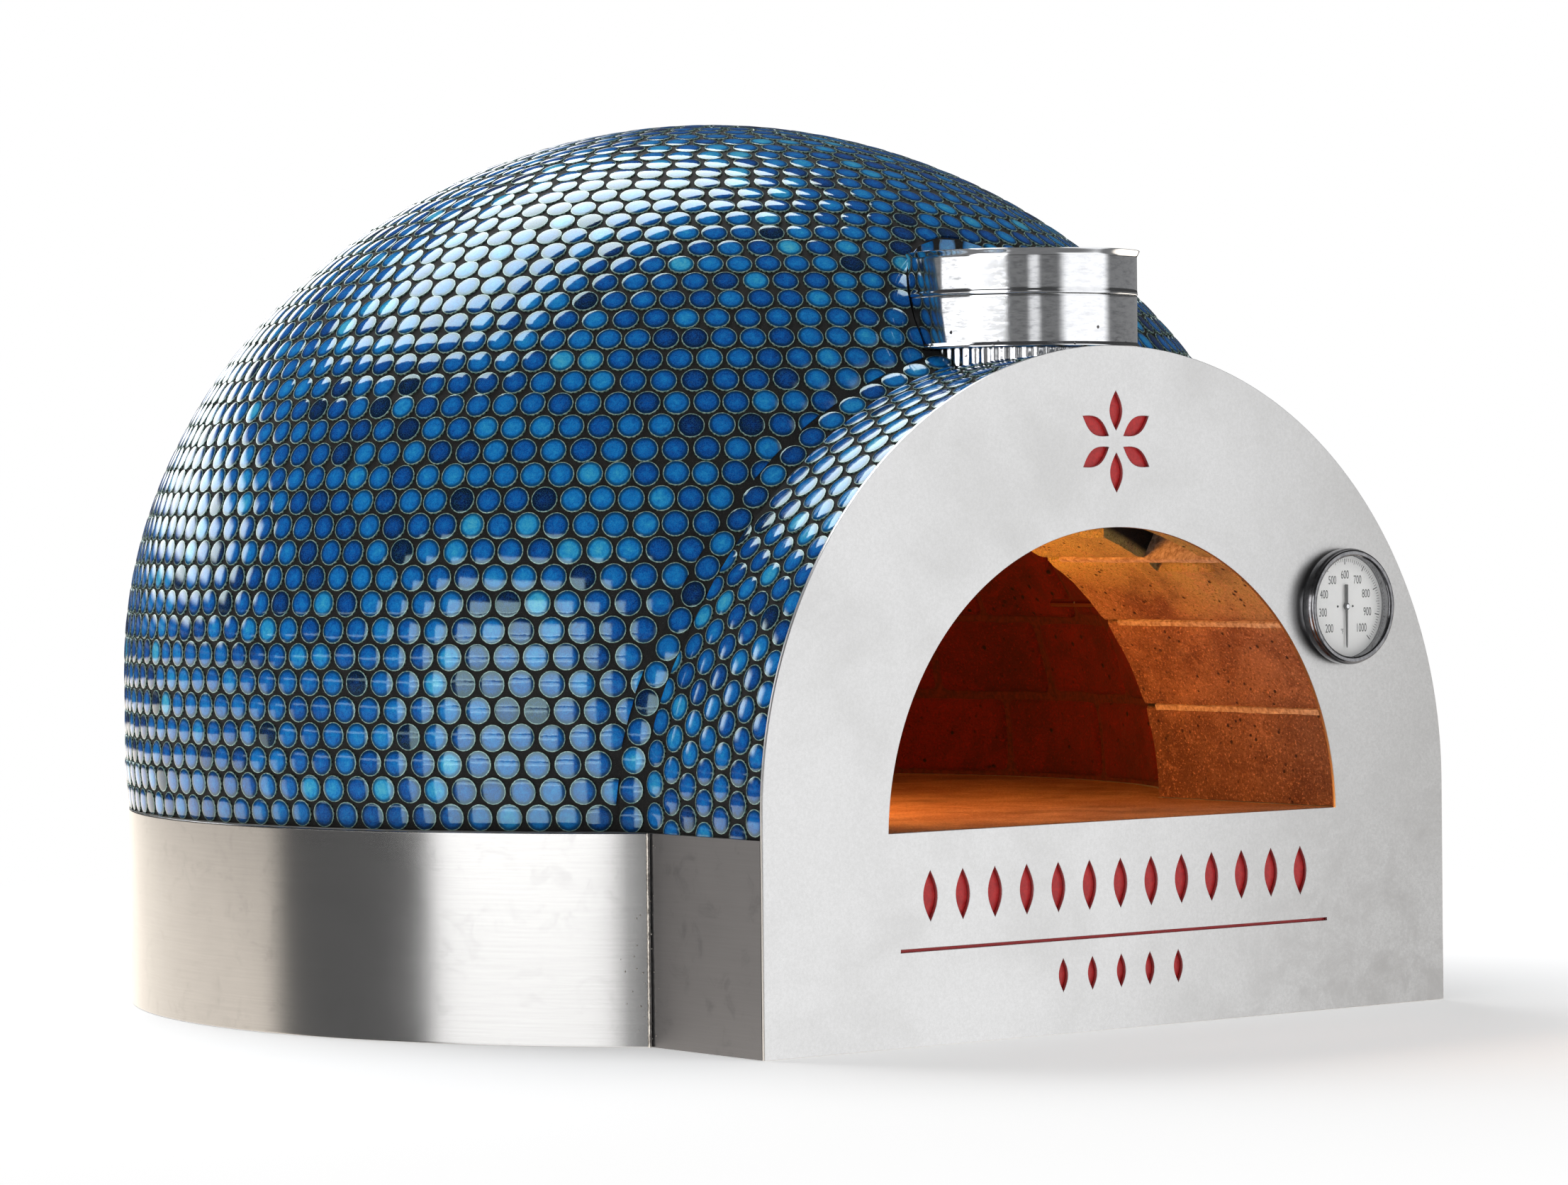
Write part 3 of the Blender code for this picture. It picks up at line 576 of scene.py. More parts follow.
def makeSkirt():
    radius = skirtHigh.y
    wall = skirtLook["sheet"]
    turn = math.atan2(-math.sqrt(radius ** 2 - plateHalf ** 2), plateHalf) + 0.001
    profile = softened([(radius - wall, 0), (radius, 0), (radius, floorHeight), (radius - wall, floorHeight)],
                       0.0005, 2)
    bm = turned(held(profile), skirtLook["steps"], angle=math.pi - 2 * turn, start=turn)
    makePiece("skirt_sheet", bm, skirtSteel, replaced=["base_skirt"])


def makeWeld(side, name, draw):
    low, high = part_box(name)
    centre = (low + high) / 2
    bm = bmesh.new()
    steps = skirtLook["beadSteps"]
    made = bmesh.ops.create_circle(bm, cap_ends=True, segments=10, radius=skirtLook["beadRadius"])
    bmesh.ops.translate(bm, verts=made["verts"], vec=(centre.x, centre.y, 0))
    face = bm.faces[:][0]
    for step in range(1, steps + 1):
        grown = bmesh.ops.extrude_discrete_faces(bm, faces=[face])
        face = grown["faces"][0]
        size = 1.0 + draw.uniform(-0.10, 0.10) + (0.10 if step % 2 else -0.10)
        middle = face.calc_center_median()
        spot = Vector((centre.x + draw.uniform(-0.0001, 0.0001), centre.y + draw.uniform(-0.0001, 0.0001),
                       high.z * step / steps))
        for vert in face.verts:
            out = (vert.co - middle).normalized() * skirtLook["beadRadius"] * size
            vert.co = spot + out
    for _ in range(skirtLook["spatter"]):
        size = draw.uniform(0.0003, 0.0007)
        z = draw.uniform(0.004, high.z - 0.004)
        if draw.random() < 0.5:
            place = Vector((side * plateHalf, centre.y + 0.002 - abs(draw.gauss(0, 0.010)) - 0.002, z))
        else:
            swing = abs(draw.gauss(0, 0.022)) + 0.006
            turn = math.atan2(centre.y, abs(centre.x)) + swing
            place = Vector((side * skirtHigh.y * math.cos(turn), skirtHigh.y * math.sin(turn), z))
        squash = Matrix.Diagonal((1, 1, 1.2, 1))
        bmesh.ops.create_icosphere(bm, subdivisions=1, radius=size, matrix=Matrix.Translation(place) @ squash)
    makePiece(name + "_seam", bm, weldSteel, replaced=[name])


# Tiles
tileLook = {
    "radius": 0.0101, "pitch": 0.0225, "tightest": 0.0210, "rowStep": 0.0193, "sides": 16,
    "proud": 0.0016, "buried": 0.0009, "firstRow": 0.0093, "jitter": 0.00022, "tilt": 0.013,
    "joint": 0.0012, "filletReach": 0.0112, "seed": 41, "domePieces": 8, "leastKept": -0.55,
    "flueClear": 0.0002, "nearFlue": 0.02,
}
domeCurve = {"wallTop": 0.260, "footTaper": 0.0025, "footHeight": 0.030, "fullness": 1.96}
domeRise = domeTop - domeCurve["wallTop"]
groutDepth = tileLook["proud"] + 0.0001
valleyBorder = tileLook["filletReach"] + tileLook["joint"] * 0.5


def domeProfile(inset, steps=60):
    radius = domeRadius - inset
    foot = floorHeight + 0.0003
    points = [(radius - domeCurve["footTaper"], foot), (radius, floorHeight + domeCurve["footHeight"])]
    power = 2 / domeCurve["fullness"]
    for step in range(steps):
        t = math.radians(90 * step / steps)
        points.append((radius * math.cos(t) ** power,
                       domeCurve["wallTop"] + (domeRise - inset) * math.sin(t) ** power))
    points.append((0, domeTop - inset))
    return points


def domeRows():
    # (radius, height, normal across, normal up) of each row of tiles, at equal steps up the wall
    profile = domeProfile(0, 400)
    rows = []
    ahead = tileLook["firstRow"]
    for (r0, z0), (r1, z1) in zip(profile, profile[1:]):
        length = math.hypot(r1 - r0, z1 - z0)
        while ahead <= length:
            t = ahead / length
            rows.append((r0 + (r1 - r0) * t, z0 + (z1 - z0) * t, (z1 - z0) / length, (r0 - r1) / length))
            ahead += tileLook["rowStep"]
        ahead -= length
    return rows


def domeSide(point):
    # Distance outside the tiled dome, and its normal there
    flat = Vector((point.x, point.y - domeAxis, 0))
    lift = max(0.0, point.z - domeCurve["wallTop"])
    full = domeCurve["fullness"]
    across, rise = flat.length / domeRadius, lift / domeRise
    value = (across ** full + rise ** full) ** (1 / full)
    slope = flat.normalized() * (across ** (full - 1) / domeRadius) + up * (rise ** (full - 1) / domeRise)
    return (value - 1) * value / slope.length, slope.normalized()


def archSide(point):
    # Distance outside the tiled entry arch, and its normal there
    if point.z < archCentre:
        return abs(point.x) - archHalf, Vector((math.copysign(1, point.x), 0, 0))
    flat = Vector((point.x, 0, point.z - archCentre))
    return flat.length - archHalf, flat.normalized()


flueHole = {"narrow": 0.0746, "snug": 0.0854, "wide": 0.0876, "bead": 0.0054, "tileGap": 0.0004}


def flueSide(point):
    # Distance outside the flue or the spigot under it, and the way out
    flat = Vector((point.x, point.y - flueAxis, 0))
    look = flueHole
    if point.z < collarLow.z - 0.006:
        clear = look["narrow"]
    elif point.z < rimHigh.z - look["bead"]:
        clear = look["snug"]
    else:
        clear = look["wide"]
    return flat.length - clear - look["tileGap"], flat.normalized()


def tileFrame(point, normal):
    across = normal.cross(up)
    if across.length < 1e-4:
        across = Vector((1, 0, 0))
    across.normalize()
    matrix = Matrix((across, normal.cross(across), normal)).transposed().to_4x4()
    matrix.translation = point - normal * tileLook["proud"]
    return matrix


def tileShape():
    # One whole tile: a low glazed pillow with a rolled edge, open at no side
    radius = tileLook["radius"]
    proud = tileLook["proud"]
    bm = bmesh.new()
    profile = [(0, -tileLook["buried"]), (radius, -tileLook["buried"]), (radius * 0.98, proud * 0.58),
               (radius * 0.72, proud * 0.88), (0, proud)]
    verts = [bm.verts.new((r, 0, z)) for r, z in profile]
    edges = [bm.edges.new(pair) for pair in zip(verts, verts[1:])]
    bmesh.ops.spin(bm, geom=verts + edges, cent=(0, 0, 0), axis=(0, 0, 1), angle=math.tau,
                   steps=tileLook["sides"], use_merge=True)
    bmesh.ops.remove_doubles(bm, verts=bm.verts, dist=1e-6)
    bottom = [f for f in bm.faces if all(v.co.z < -tileLook["buried"] * 0.99 for v in f.verts)]
    bmesh.ops.dissolve_faces(bm, faces=bottom)
    bmesh.ops.recalc_face_normals(bm, faces=bm.faces)
    return bm


wholeTile = tileShape()
scratch = bpy.data.meshes.new("scratch")


class TileField:
    # Gathers tiles into one mesh, with each tile's own UV disc and tone
    def __init__(self, name, slot):
        self.name = name
        self.slot = slot
        self.bm = bmesh.new()
        self.discs = []
        self.tones = []

    def add(self, matrix, tone, trims):
        radius = tileLook["radius"]
        shape = wholeTile.copy()
        for distance, direction in trims:
            if distance < tileLook["leastKept"] * radius:
                shape.free()
                return
            if distance < radius:
                bmesh.ops.bisect_plane(shape, geom=shape.verts[:] + shape.edges[:] + shape.faces[:],
                                       plane_co=direction * -distance, plane_no=direction, clear_inner=True)
                rim = [e for e in shape.edges if e.is_boundary]
                bmesh.ops.holes_fill(shape, edges=rim)
                if not shape.verts:
                    shape.free()
                    return
        for face in shape.faces:
            for loop in face.loops:
                self.discs += (0.5 + 0.5 * loop.vert.co.x / radius, 0.5 + 0.5 * loop.vert.co.y / radius)
        self.tones += [tone] * len(shape.verts)
        bmesh.ops.transform(shape, matrix=matrix, verts=shape.verts)
        shape.to_mesh(scratch)
        shape.free()
        self.bm.from_mesh(scratch)

    def make(self):
        mesh = bpy.data.meshes.new(self.name)
        self.bm.to_mesh(mesh)
        self.bm.free()
        mesh.uv_layers.new(name="disc").data.foreach_set("uv", self.discs)
        mesh.attributes.new("tone", "FLOAT", "POINT").data.foreach_set("value", self.tones)
        placePiece(self.name, mesh, glaze, sharp=60)


def tileTone(draw):
    chance = draw.random()
    if chance < 0.045:
        return draw.uniform(0.0, 0.12)
    if chance > 0.955:
        return draw.uniform(0.74, 0.92)
    return min(0.8, max(0.2, draw.gauss(0.50, 0.12)))


def localWay(matrix, gap, way):
    # A trim line in the tile's own plane, from a gap to a surface and the way out of it
    flat = matrix.to_3x3().transposed() @ way
    flat.z = 0
    size = flat.length
    if size < 0.05:
        return None
    return gap / size, flat / size


def settle(point, normal, draw):
    # The small faults of hand setting
    lean = Vector([draw.gauss(0, tileLook["tilt"]) for _ in range(3)])
    slip = Vector([draw.gauss(0, tileLook["jitter"]) for _ in range(3)])
    slip -= normal * slip.dot(normal)
    turn = Matrix.Rotation(draw.uniform(0, math.tau), 4, "Z")
    return tileFrame(point + slip, (normal + lean).normalized()), turn


def addTile(field, point, normal, draw, edges):
    matrix, turn = settle(point, normal, draw)
    tone = tileTone(draw)
    trims = []
    for gap, way, clear in edges:
        line = localWay(matrix, gap, way)
        if line:
            distance, direction = line
            trims.append((distance - clear, turn.inverted() @ direction))
    field.add(matrix @ turn, tone, trims)


def makeDomeTiles():
    draw = random.Random(tileLook["seed"])
    count = tileLook["domePieces"]
    fields = [TileField(f"dome_tiles_{i + 1}", "dome_tile") for i in range(count)]
    around = 0
    phase = 0.0
    for index, (radius, height, outward, rise) in enumerate(domeRows()):
        pitch = math.tau * radius / around if around else 0
        if pitch < tileLook["tightest"]:
            around = max(1, round(math.tau * radius / tileLook["pitch"]))
            phase = draw.random()
            start = index
        shift = phase + 0.5 * ((index - start) % 2)
        for i in range(around):
            turn = math.tau * (i + shift) / around
            c, s = math.cos(turn), math.sin(turn)
            point = Vector((radius * c, domeAxis + radius * s, height))
            normal = Vector((outward * c, outward * s, rise))
            edges = []
            if point.y < 0:
                gap, way = archSide(point)
                if gap < 0:
                    continue
                if gap < 0.04:
                    edges.append((gap, way, valleyBorder))
                gap, way = flueSide(point)
                if gap < tileLook["nearFlue"]:
                    edges.append((gap, way, tileLook["flueClear"]))
            sector = int((turn % math.tau) / math.tau * count) % count
            addTile(fields[sector], point, normal, draw, edges)
    for field in fields:
        field.make()


def archPoint(reach):
    # A point on the arch's outline, a distance from the middle of its top
    quarter = archHalf * math.pi / 2
    if abs(reach) > quarter:
        side = math.copysign(1, reach)
        drop = abs(reach) - quarter
        return Vector((side * archHalf, 0, archCentre - drop)), Vector((side, 0, 0))
    normal = Vector((math.sin(reach / archHalf), 0, math.cos(reach / archHalf)))
    return normal * archHalf + up * archCentre, normal


def makeArchTiles():
    draw = random.Random(tileLook["seed"] + 1)
    fields = {1: TileField("arch_tiles_right", "arch_tile"), -1: TileField("arch_tiles_left", "arch_tile")}
    length = archHalf * math.pi / 2 + archCentre - floorHeight + tileLook["radius"] * 0.7
    pitch = tileLook["pitch"]
    for row in range(9):
        y = plateHigh.y + 0.0006 + tileLook["radius"] + row * tileLook["rowStep"]
        count = int(length / pitch) + 1
        for i in range(-count, count + 1):
            reach = (i + 0.5 * (row % 2)) * pitch
            if abs(reach) > length:
                continue
            point, normal = archPoint(reach)
            point.y = y
            edges = []
            gap, way = domeSide(point)
            if gap < -0.004:
                continue
            edges.append((gap, way, valleyBorder))
            gap, way = flueSide(point - up * 0.02)
            if gap < tileLook["nearFlue"]:
                edges.append((gap, way, tileLook["flueClear"]))
            addTile(fields[1 if reach > 0 else -1], point, normal, draw, edges)
    for field in fields.values():
        field.make()


def valleyPoints(side, inset, step):
    # The line where dome and arch meet, from the foot up to the flue: point, dome normal, arch normal
    found = []
    quarter = archHalf * math.pi / 2
    reach = quarter + archCentre - floorHeight - 0.0003
    while reach > 0.062:
        point, archNormal = archPoint(side * reach)
        radius = domeRadius
        if point.z > domeCurve["wallTop"]:
            full = domeCurve["fullness"]
            radius *= (1 - ((point.z - domeCurve["wallTop"]) / domeRise) ** full) ** (1 / full)
        point.y = domeAxis - math.sqrt(radius ** 2 - point.x ** 2)
        _, domeNormal = domeSide(point)
        half = (domeNormal + archNormal).normalized()
        found.append((point - half * (inset / half.dot(archNormal)), domeNormal, archNormal))
        reach -= step
    return found


def makeValley(side, name):
    # A grout fillet in the corner between dome and arch, with one row of tiles on it
    draw = random.Random(tileLook["seed"] + 5 + side)
    reach = tileLook["filletReach"]
    bm = bmesh.new()
    loops = []
    middles = []
    for point, domeNormal, archNormal in valleyPoints(side, groutDepth, 0.004):
        onDome = (archNormal - domeNormal * archNormal.dot(domeNormal)).normalized() * reach
        onArch = (domeNormal - archNormal * archNormal.dot(domeNormal)).normalized() * reach
        out = (domeNormal + archNormal).normalized()
        middle = point + (onDome + onArch) / 2
        middles.append((middle, out))
        corners = [point - out * 0.003, point + onDome - domeNormal * 0.0004, middle - out * 0.0002,
                   point + onArch - archNormal * 0.0004]
        verts = [bm.verts.new(corner) for corner in corners]
        loops.append([bm.edges.new((verts[i], verts[(i + 1) % 4])) for i in range(4)])
    makePiece(f"valley_grout_{name}", bridged(bm, loops), grout)

    field = TileField(f"valley_tiles_{name}", "dome_tile")
    ahead = tileLook["radius"] * 0.86
    for (first, normal), (second, _) in zip(middles, middles[1:]):
        length = (second - first).length
        if ahead <= length:
            point = first.lerp(second, ahead / length) + normal * tileLook["proud"]
            gap, way = flueSide(point)
            edges = [(gap, way, tileLook["flueClear"])] if gap < tileLook["nearFlue"] else []
            addTile(field, point, normal, draw, edges)
            ahead += tileLook["radius"] * 2 + tileLook["joint"] * 0.8
        ahead -= length
    field.make()


def makeGroutBeds():
    # The dome's and the arch's grout, each a shell cut round the flue
    wall = 0.0055
    inner = domeProfile(groutDepth + wall)
    outer = domeProfile(groutDepth)
    bm = turned(outer[::-1] + inner, 180, (0, domeAxis, 0))
    dome = makePiece("dome_grout", bm, grout, replaced=["dome_mosaic"])

    def archOutline(half):
        foot = floorHeight + 0.0003
        return [(half, foot)] + arc(half, 0, 180, 120, (0, archCentre)) + [(-half, foot)]

    start = plateHigh.y + 0.0003
    outline = archOutline(archHalf - groutDepth) + archOutline(archHalf - groutDepth - wall)[::-1]
    arch = makePiece("arch_grout", extruded(outline, start, -0.30), grout,
                     replaced=["arch_mosaic"])
    foot = floorHeight - 0.02
    half = archHalf - groutDepth - 0.002
    space = [(half, foot)] + arc(half, 0, 180, 60, (0, archCentre)) + [(-half, foot)]
    space = makeCutter("space", extruded(space, plateLow.y, 0.0))
    low = collarLow.z - 0.0006
    narrow, snug, wide, bead = [flueHole[key] for key in ("narrow", "snug", "wide", "bead")]
    below, over = 0.3, 0.75
    profile = [(0, below), (narrow, below), (narrow, low), (wide, low), (wide, low + bead)]
    profile += [(snug, low + bead * 1.1), (snug, rimHigh.z - bead * 1.1), (wide, rimHigh.z - bead)]
    profile += [(wide, over), (0, over)]
    hole = makeCutter("hole", turned(profile, 96, (0, flueAxis, 0)))
    carve(dome, space, hole)
    carve(arch, hole)
    bpy.data.objects.remove(space)
    bpy.data.objects.remove(hole)


def domeHeight(x, y):
    reach = math.hypot(x, y - domeAxis) / domeRadius
    full = domeCurve["fullness"]
    return domeCurve["wallTop"] + domeRise * (1 - reach ** full) ** (1 / full)


def makeFlueReveal():
    # The dome's cut edge behind the collar's rim: a grout strip and one row of tiles facing the flue
    draw = random.Random(tileLook["seed"] + 9)
    foot = rimHigh.z + 0.0005
    near, far = flueHole["wide"], flueHole["wide"] + 0.0016
    bm = bmesh.new()
    loops = []
    for i in range(121):
        turn = math.pi * (i / 120)
        c, s = math.cos(turn), math.sin(turn)
        top = domeHeight(near * c, flueAxis + near * s) - groutDepth - 0.0004
        if top < foot + 0.001:
            continue
        verts = [bm.verts.new((r * c, flueAxis + r * s, z)) for r, z in
                 ((near, foot), (far, foot), (far, top), (near, top))]
        loops.append([bm.edges.new((verts[j], verts[(j + 1) % 4])) for j in range(4)])
    makePiece("reveal_grout", bridged(bm, loops), grout)
    field = TileField("reveal_tiles", "dome_tile")
    radius = tileLook["radius"]
    reach = near - tileLook["proud"] * 0.5
    step = 2 * radius * 1.09 / reach
    for row in range(2):
        count = int(math.pi / step)
        for i in range(count + 1):
            turn = math.pi / 2 + (i - count / 2 + 0.5 * row) * step
            way = Vector((math.cos(turn), math.sin(turn), 0))
            point = Vector((0, flueAxis, foot + radius * (0.75 + 1.75 * row))) + way * reach
            gap, normal = domeSide(point)
            edges = [(-gap, -normal, 0.0016), (point.z - foot, up, 0.0004)]
            addTile(field, point, -way, draw, edges)
    field.make()


# Flue
flueLook = {"outer": 0.085, "bead": 0.0022, "wall": 0.0010, "liner": 0.0755, "steps": 160,
            "flutes": 56, "fluteDepth": 0.0013, "spigot": 0.0742, "spigotWall": 0.0008}


def makeRing(name, node, profile):
    bm = turned(profile, flueLook["steps"], (0, flueAxis, 0))
    makePiece(name, bm, flueSteel, replaced=[node])


def makeFlue():
    outer, wall, bead = flueLook["outer"], flueLook["wall"], flueLook["bead"]
    inner = outer - wall
    low, middle = collarLow.z, collarHigh.z
    roll = arc(bead * 0.62, -90, 70, 8, (outer + bead * 0.38, low + bead * 0.62))
    profile = [(inner, low)] + roll + [(outer, low + bead * 1.9)]
    profile += softened([(outer, middle - 0.0016), (outer - 0.0001, middle), (inner, middle)], 0.0009)[2:]
    makeRing("flue_lower_band", "flue_collar_lower", held(profile))
    low, top = rimLow.z, rimHigh.z
    lip = outer + 0.0003
    profile = softened([(inner, low), (lip, low), (lip, low + 0.0022), (outer, low + 0.0034),
                        (outer, top - 2 * bead), (outer + bead * 0.5, top - bead),
                        (outer + bead, top), (inner + bead, top), (inner, top - 1.5 * bead)], 0.0007)
    makeRing("flue_upper_band", "flue_collar_upper", held(profile))
    linerLow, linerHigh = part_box("flue_liner")
    liner = flueLook["liner"]
    profile = softened([(liner - wall, linerLow.z), (liner, linerLow.z), (liner, linerHigh.z),
                        (liner - wall, linerHigh.z)], 0.0004)
    makeRing("flue_liner_tube", "flue_liner", profile)
    for node, name in (("flue_base_ring", "flue_bottom_closer"), ("flue_top_ring", "flue_top_closer")):
        ringLow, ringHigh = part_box(node)
        gap = 0.0003
        profile = softened([(liner + gap, ringLow.z), (inner - gap, ringLow.z),
                            (inner - gap, ringHigh.z), (liner + gap, ringHigh.z)], gap)
        makeRing(name, node, profile)
    makeSpigot()


def makeSpigot():
    # The crimped end that goes into the crown block: one wave per flute round the tube
    spigotLow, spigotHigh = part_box("flue_spigot")
    count = flueLook["flutes"] * 8
    bm = bmesh.new()
    made = bmesh.ops.create_circle(bm, segments=count, radius=flueLook["spigot"])
    for vert in made["verts"]:
        turn = math.atan2(vert.co.y, vert.co.x) * flueLook["flutes"]
        vert.co *= 1 - flueLook["fluteDepth"] / flueLook["spigot"] * (0.5 - 0.5 * math.cos(turn))
    bmesh.ops.translate(bm, verts=bm.verts, vec=(0, flueAxis, spigotLow.z))
    grown = bmesh.ops.extrude_edge_only(bm, edges=bm.edges[:])
    moved = onlyKind(grown["geom"], bmesh.types.BMVert)
    bmesh.ops.translate(bm, verts=moved, vec=(0, 0, spigotHigh.z - spigotLow.z))
    bmesh.ops.recalc_face_normals(bm, faces=bm.faces)
    bmesh.ops.solidify(bm, geom=bm.faces[:], thickness=flueLook["spigotWall"])
    makePiece("flue_crimped_spigot", bm, flueSteel, replaced=["flue_spigot"])


# Thermometer: drawn with its face in X and Y and +Z out of the plate, then turned to face the front
dialLook = {"radius": 0.0387, "window": 0.0378, "first": 200, "last": 1000, "sweep": 270.0,
            "numberReach": 0.0236, "numberSize": 0.0090, "numberWidth": 0.62, "tickReach": 0.0360,
            "ink": 0.00008, "steps": 96, "face": 0.0039, "glassLow": 0.0108, "glassHigh": 0.0120,
            "unitPlace": (-0.0034, -0.0190), "unitSize": 0.0054}


def onDial(bm):
    bmesh.ops.rotate(bm, verts=bm.verts, matrix=Matrix.Rotation(math.pi / 2, 3, "X"))
    bmesh.ops.translate(bm, verts=bm.verts, vec=(dialCentre.x, plateLow.y, dialCentre.z))
    return bm


def makeRound(name, profile, finish, node):
    makePiece(name, onDial(turned(profile, dialLook["steps"])), finish, replaced=[node])


def dialPoint(reach, turn):
    # turn runs clockwise from the top
    return reach * math.sin(turn), reach * math.cos(turn)


def makeGauge():
    face = dialLook["face"]
    depth = bezelHigh.y - bezelLow.y + face
    radius = (bezelHigh.x - bezelLow.x) / 2
    window = dialLook["window"]
    ledge = radius - 0.0032
    profile = [(ledge, face), (radius, face), (radius, depth - 0.0042), (radius - 0.0010, depth - 0.0024),
               (radius - 0.0010, depth - 0.0013), (radius - 0.0020, depth), (window + 0.0014, depth),
               (window + 0.0004, depth - 0.0010), (window, depth - 0.0016), (ledge, depth - 0.0016)]
    makeRound("gauge_rim", softened(profile, 0.0006), bezelSteel, "gauge_bezel")
    case, wall, back, front = radius - 0.0035, 0.0012, 0.0003, 0.0105
    profile = [(stemBore, back), (case, back), (case, front), (case - wall, front),
               (case - wall, back + wall), (stemBore, back + wall)]
    makeRound("gauge_cup", softened(profile, 0.0003, 2), bezelSteel, "gauge_case")
    low, high, edge = dialLook["glassLow"], dialLook["glassHigh"], 0.0002
    profile = [(0, low), (case - edge, low), (case, low + edge)]
    profile += [(case, high - edge), (case - edge, high), (0, high)]
    makeRound("gauge_window", profile, glass, "gauge_glass")
    hole, disc, back = 0.0016, dialLook["radius"], face - 0.0006
    profile = [(hole, back), (disc, back), (disc, face), (hole, face)]
    makeRound("gauge_face", softened(profile, 0.0001, 1), dialWhite, "gauge_dial")
    makeMarks(face)
    makeNeedle()


def makeMarks(face):
    ink = dialLook["ink"]
    bm = bmesh.new()
    sweep = math.radians(dialLook["sweep"])
    ticks = (dialLook["last"] - dialLook["first"]) // 10
    for i in range(ticks + 1):
        long = i % 10 == 0
        length = 0.0044 if long else 0.0034 if i % 5 == 0 else 0.0024
        wide = 0.00070 if long else 0.00034
        turn = sweep * (i / ticks - 0.5)
        x, y = dialPoint(dialLook["tickReach"] - length / 2, turn)
        place = Matrix.Translation((x, y, face + ink / 2)) @ Matrix.Rotation(-turn, 4, "Z")
        bmesh.ops.create_cube(bm, size=1.0, matrix=place @ Matrix.Diagonal((wide, length, ink, 1)))
    for side in (-1, 1):
        # The two screws that hold the dial
        bmesh.ops.create_cone(bm, cap_ends=True, segments=20, radius1=0.0009, radius2=0.0008, depth=0.0004,
                              matrix=Matrix.Translation((side * 0.0078, 0, face + 0.0002)))
    makePiece("gauge_ticks", onDial(bm), dialInk)
    values = range(dialLook["first"], dialLook["last"] + 1, 100)
    bm = bmesh.new()
    for i, value in enumerate(values):
        turn = sweep * (i / (len(values) - 1) - 0.5)
        addText(bm, str(value), dialPoint(dialLook["numberReach"], turn), dialLook["numberSize"], face)
    addText(bm, "°F", dialLook["unitPlace"], dialLook["unitSize"], face)
    makePiece("gauge_numbers", onDial(bm), dialInk, clean=False)


def addText(bm, text, place, size, face):
    words = bpy.data.curves.new("words", "FONT")
    words.body = text
    words.align_x = "CENTER"
    words.align_y = "CENTER"
    words.size = size
    words.extrude = dialLook["ink"] / 2
    mesh = meshOf(bpy.data.objects.new("words", words))
    narrowed = Matrix.Diagonal((dialLook["numberWidth"], 1, 1, 1))
    mesh.transform(Matrix.Translation((*place, face + dialLook["ink"] / 2)) @ narrowed)
    absorb(bm, mesh)


def makeNeedle():
    # A long thin point, a round hub with the spindle's hole, and a short wide tail
    hub, low, thick = 0.0030, 0.0051, 0.0010
    tip, shoulder, tail = 0.0312, 0.0290, 0.0166
    blade = [(0.0009, -hub), (0.0004, -shoulder), (0, -tip), (-0.0004, -shoulder), (-0.0009, -hub)]
    counter = [(-0.0011, hub * 1.1), (-0.0013, tail - 0.0006), (-0.0009, tail), (0.0009, tail),
               (0.0013, tail - 0.0006), (0.0011, hub * 1.1)]
    outline = blade + arc(hub * 0.95, 250, 110, 12) + counter + arc(hub * 0.95, 70, -70, 12)
    mesh = sheetMesh("gauge_pointer", [outline, arc(0.0011, 0, 345, 23)], thick, 0.00012)
    mesh.transform(Matrix.Translation((0, 0, low + thick)))
    bm = onDial(absorb(bmesh.new(), mesh))
    makePiece("gauge_pointer", bm, dialInk, "needle", ["gauge_needle"], clean=False)


# Brick lining
liningLook = {"radius": 0.362, "rise": 0.343, "brick": 0.064, "courses": 7, "crown": 80.0,
              "joint": 0.0050, "depth": 0.050, "width": 0.118, "roundness": 0.0075, "recess": 0.0045}
archOuter = archInner + liningLook["brick"]
entryLook = {"joint": 0.0022, "worn": 0.0022, "end": domeAxis - 0.12, "cuts": 60, "span": 20,
             "throat": 0.0692, "socket": 0.0746, "slotSize": (0.246, 0.066, 0.116), "slotBack": 0.054,
             "slotHeight": 0.345}


def liningPoint(t, depth):
    # A point of the chamber's curve, moved outwards by a depth
    radius, rise = liningLook["radius"] + depth, liningLook["rise"] + depth
    return radius * math.cos(t), floorHeight + rise * math.sin(t)


def makeLining():
    draw = random.Random(7)
    look = liningLook
    span = math.radians(look["crown"]) / look["courses"]
    for course in range(look["courses"]):
        middle = span * (course + 0.5)
        radius, _ = liningPoint(middle, 0)
        low = Vector(liningPoint(middle - span / 2, 0))
        high = Vector(liningPoint(middle + span / 2, 0))
        tall = (high - low).length - look["joint"]
        around = max(5, round(math.tau * radius / look["width"]))
        wide = math.tau * radius / around - look["joint"]
        shift = 0.5 * (course % 2) + draw.uniform(-0.1, 0.1)
        bm = bmesh.new()
        for i in range(around):
            turn = math.tau * (i + shift) / around
            x, z = radius * math.cos(turn), (low.y + high.y) / 2
            if math.sin(turn) < 0 and math.hypot(x, z - mouthCentre) < archOuter + 0.03 and course < 5:
                continue
            block = brickBlock(wide, tall, look["depth"], draw)
            for vert in block.verts:
                push = vert.co.y + draw.uniform(-0.0002, 0.0002)
                t = middle + vert.co.z / ((high - low).length / span)
                across = turn + vert.co.x / radius
                r, h = liningPoint(t, push)
                vert.co = (r * math.cos(across), domeAxis + r * math.sin(across), h)
            absorb(bm, meshFrom("block", block))
        makePiece(f"wall_bricks_{course + 1}", bm, wallBrick,
                  replaced=[f"brick_course_{course + 1}"], sharp=50)


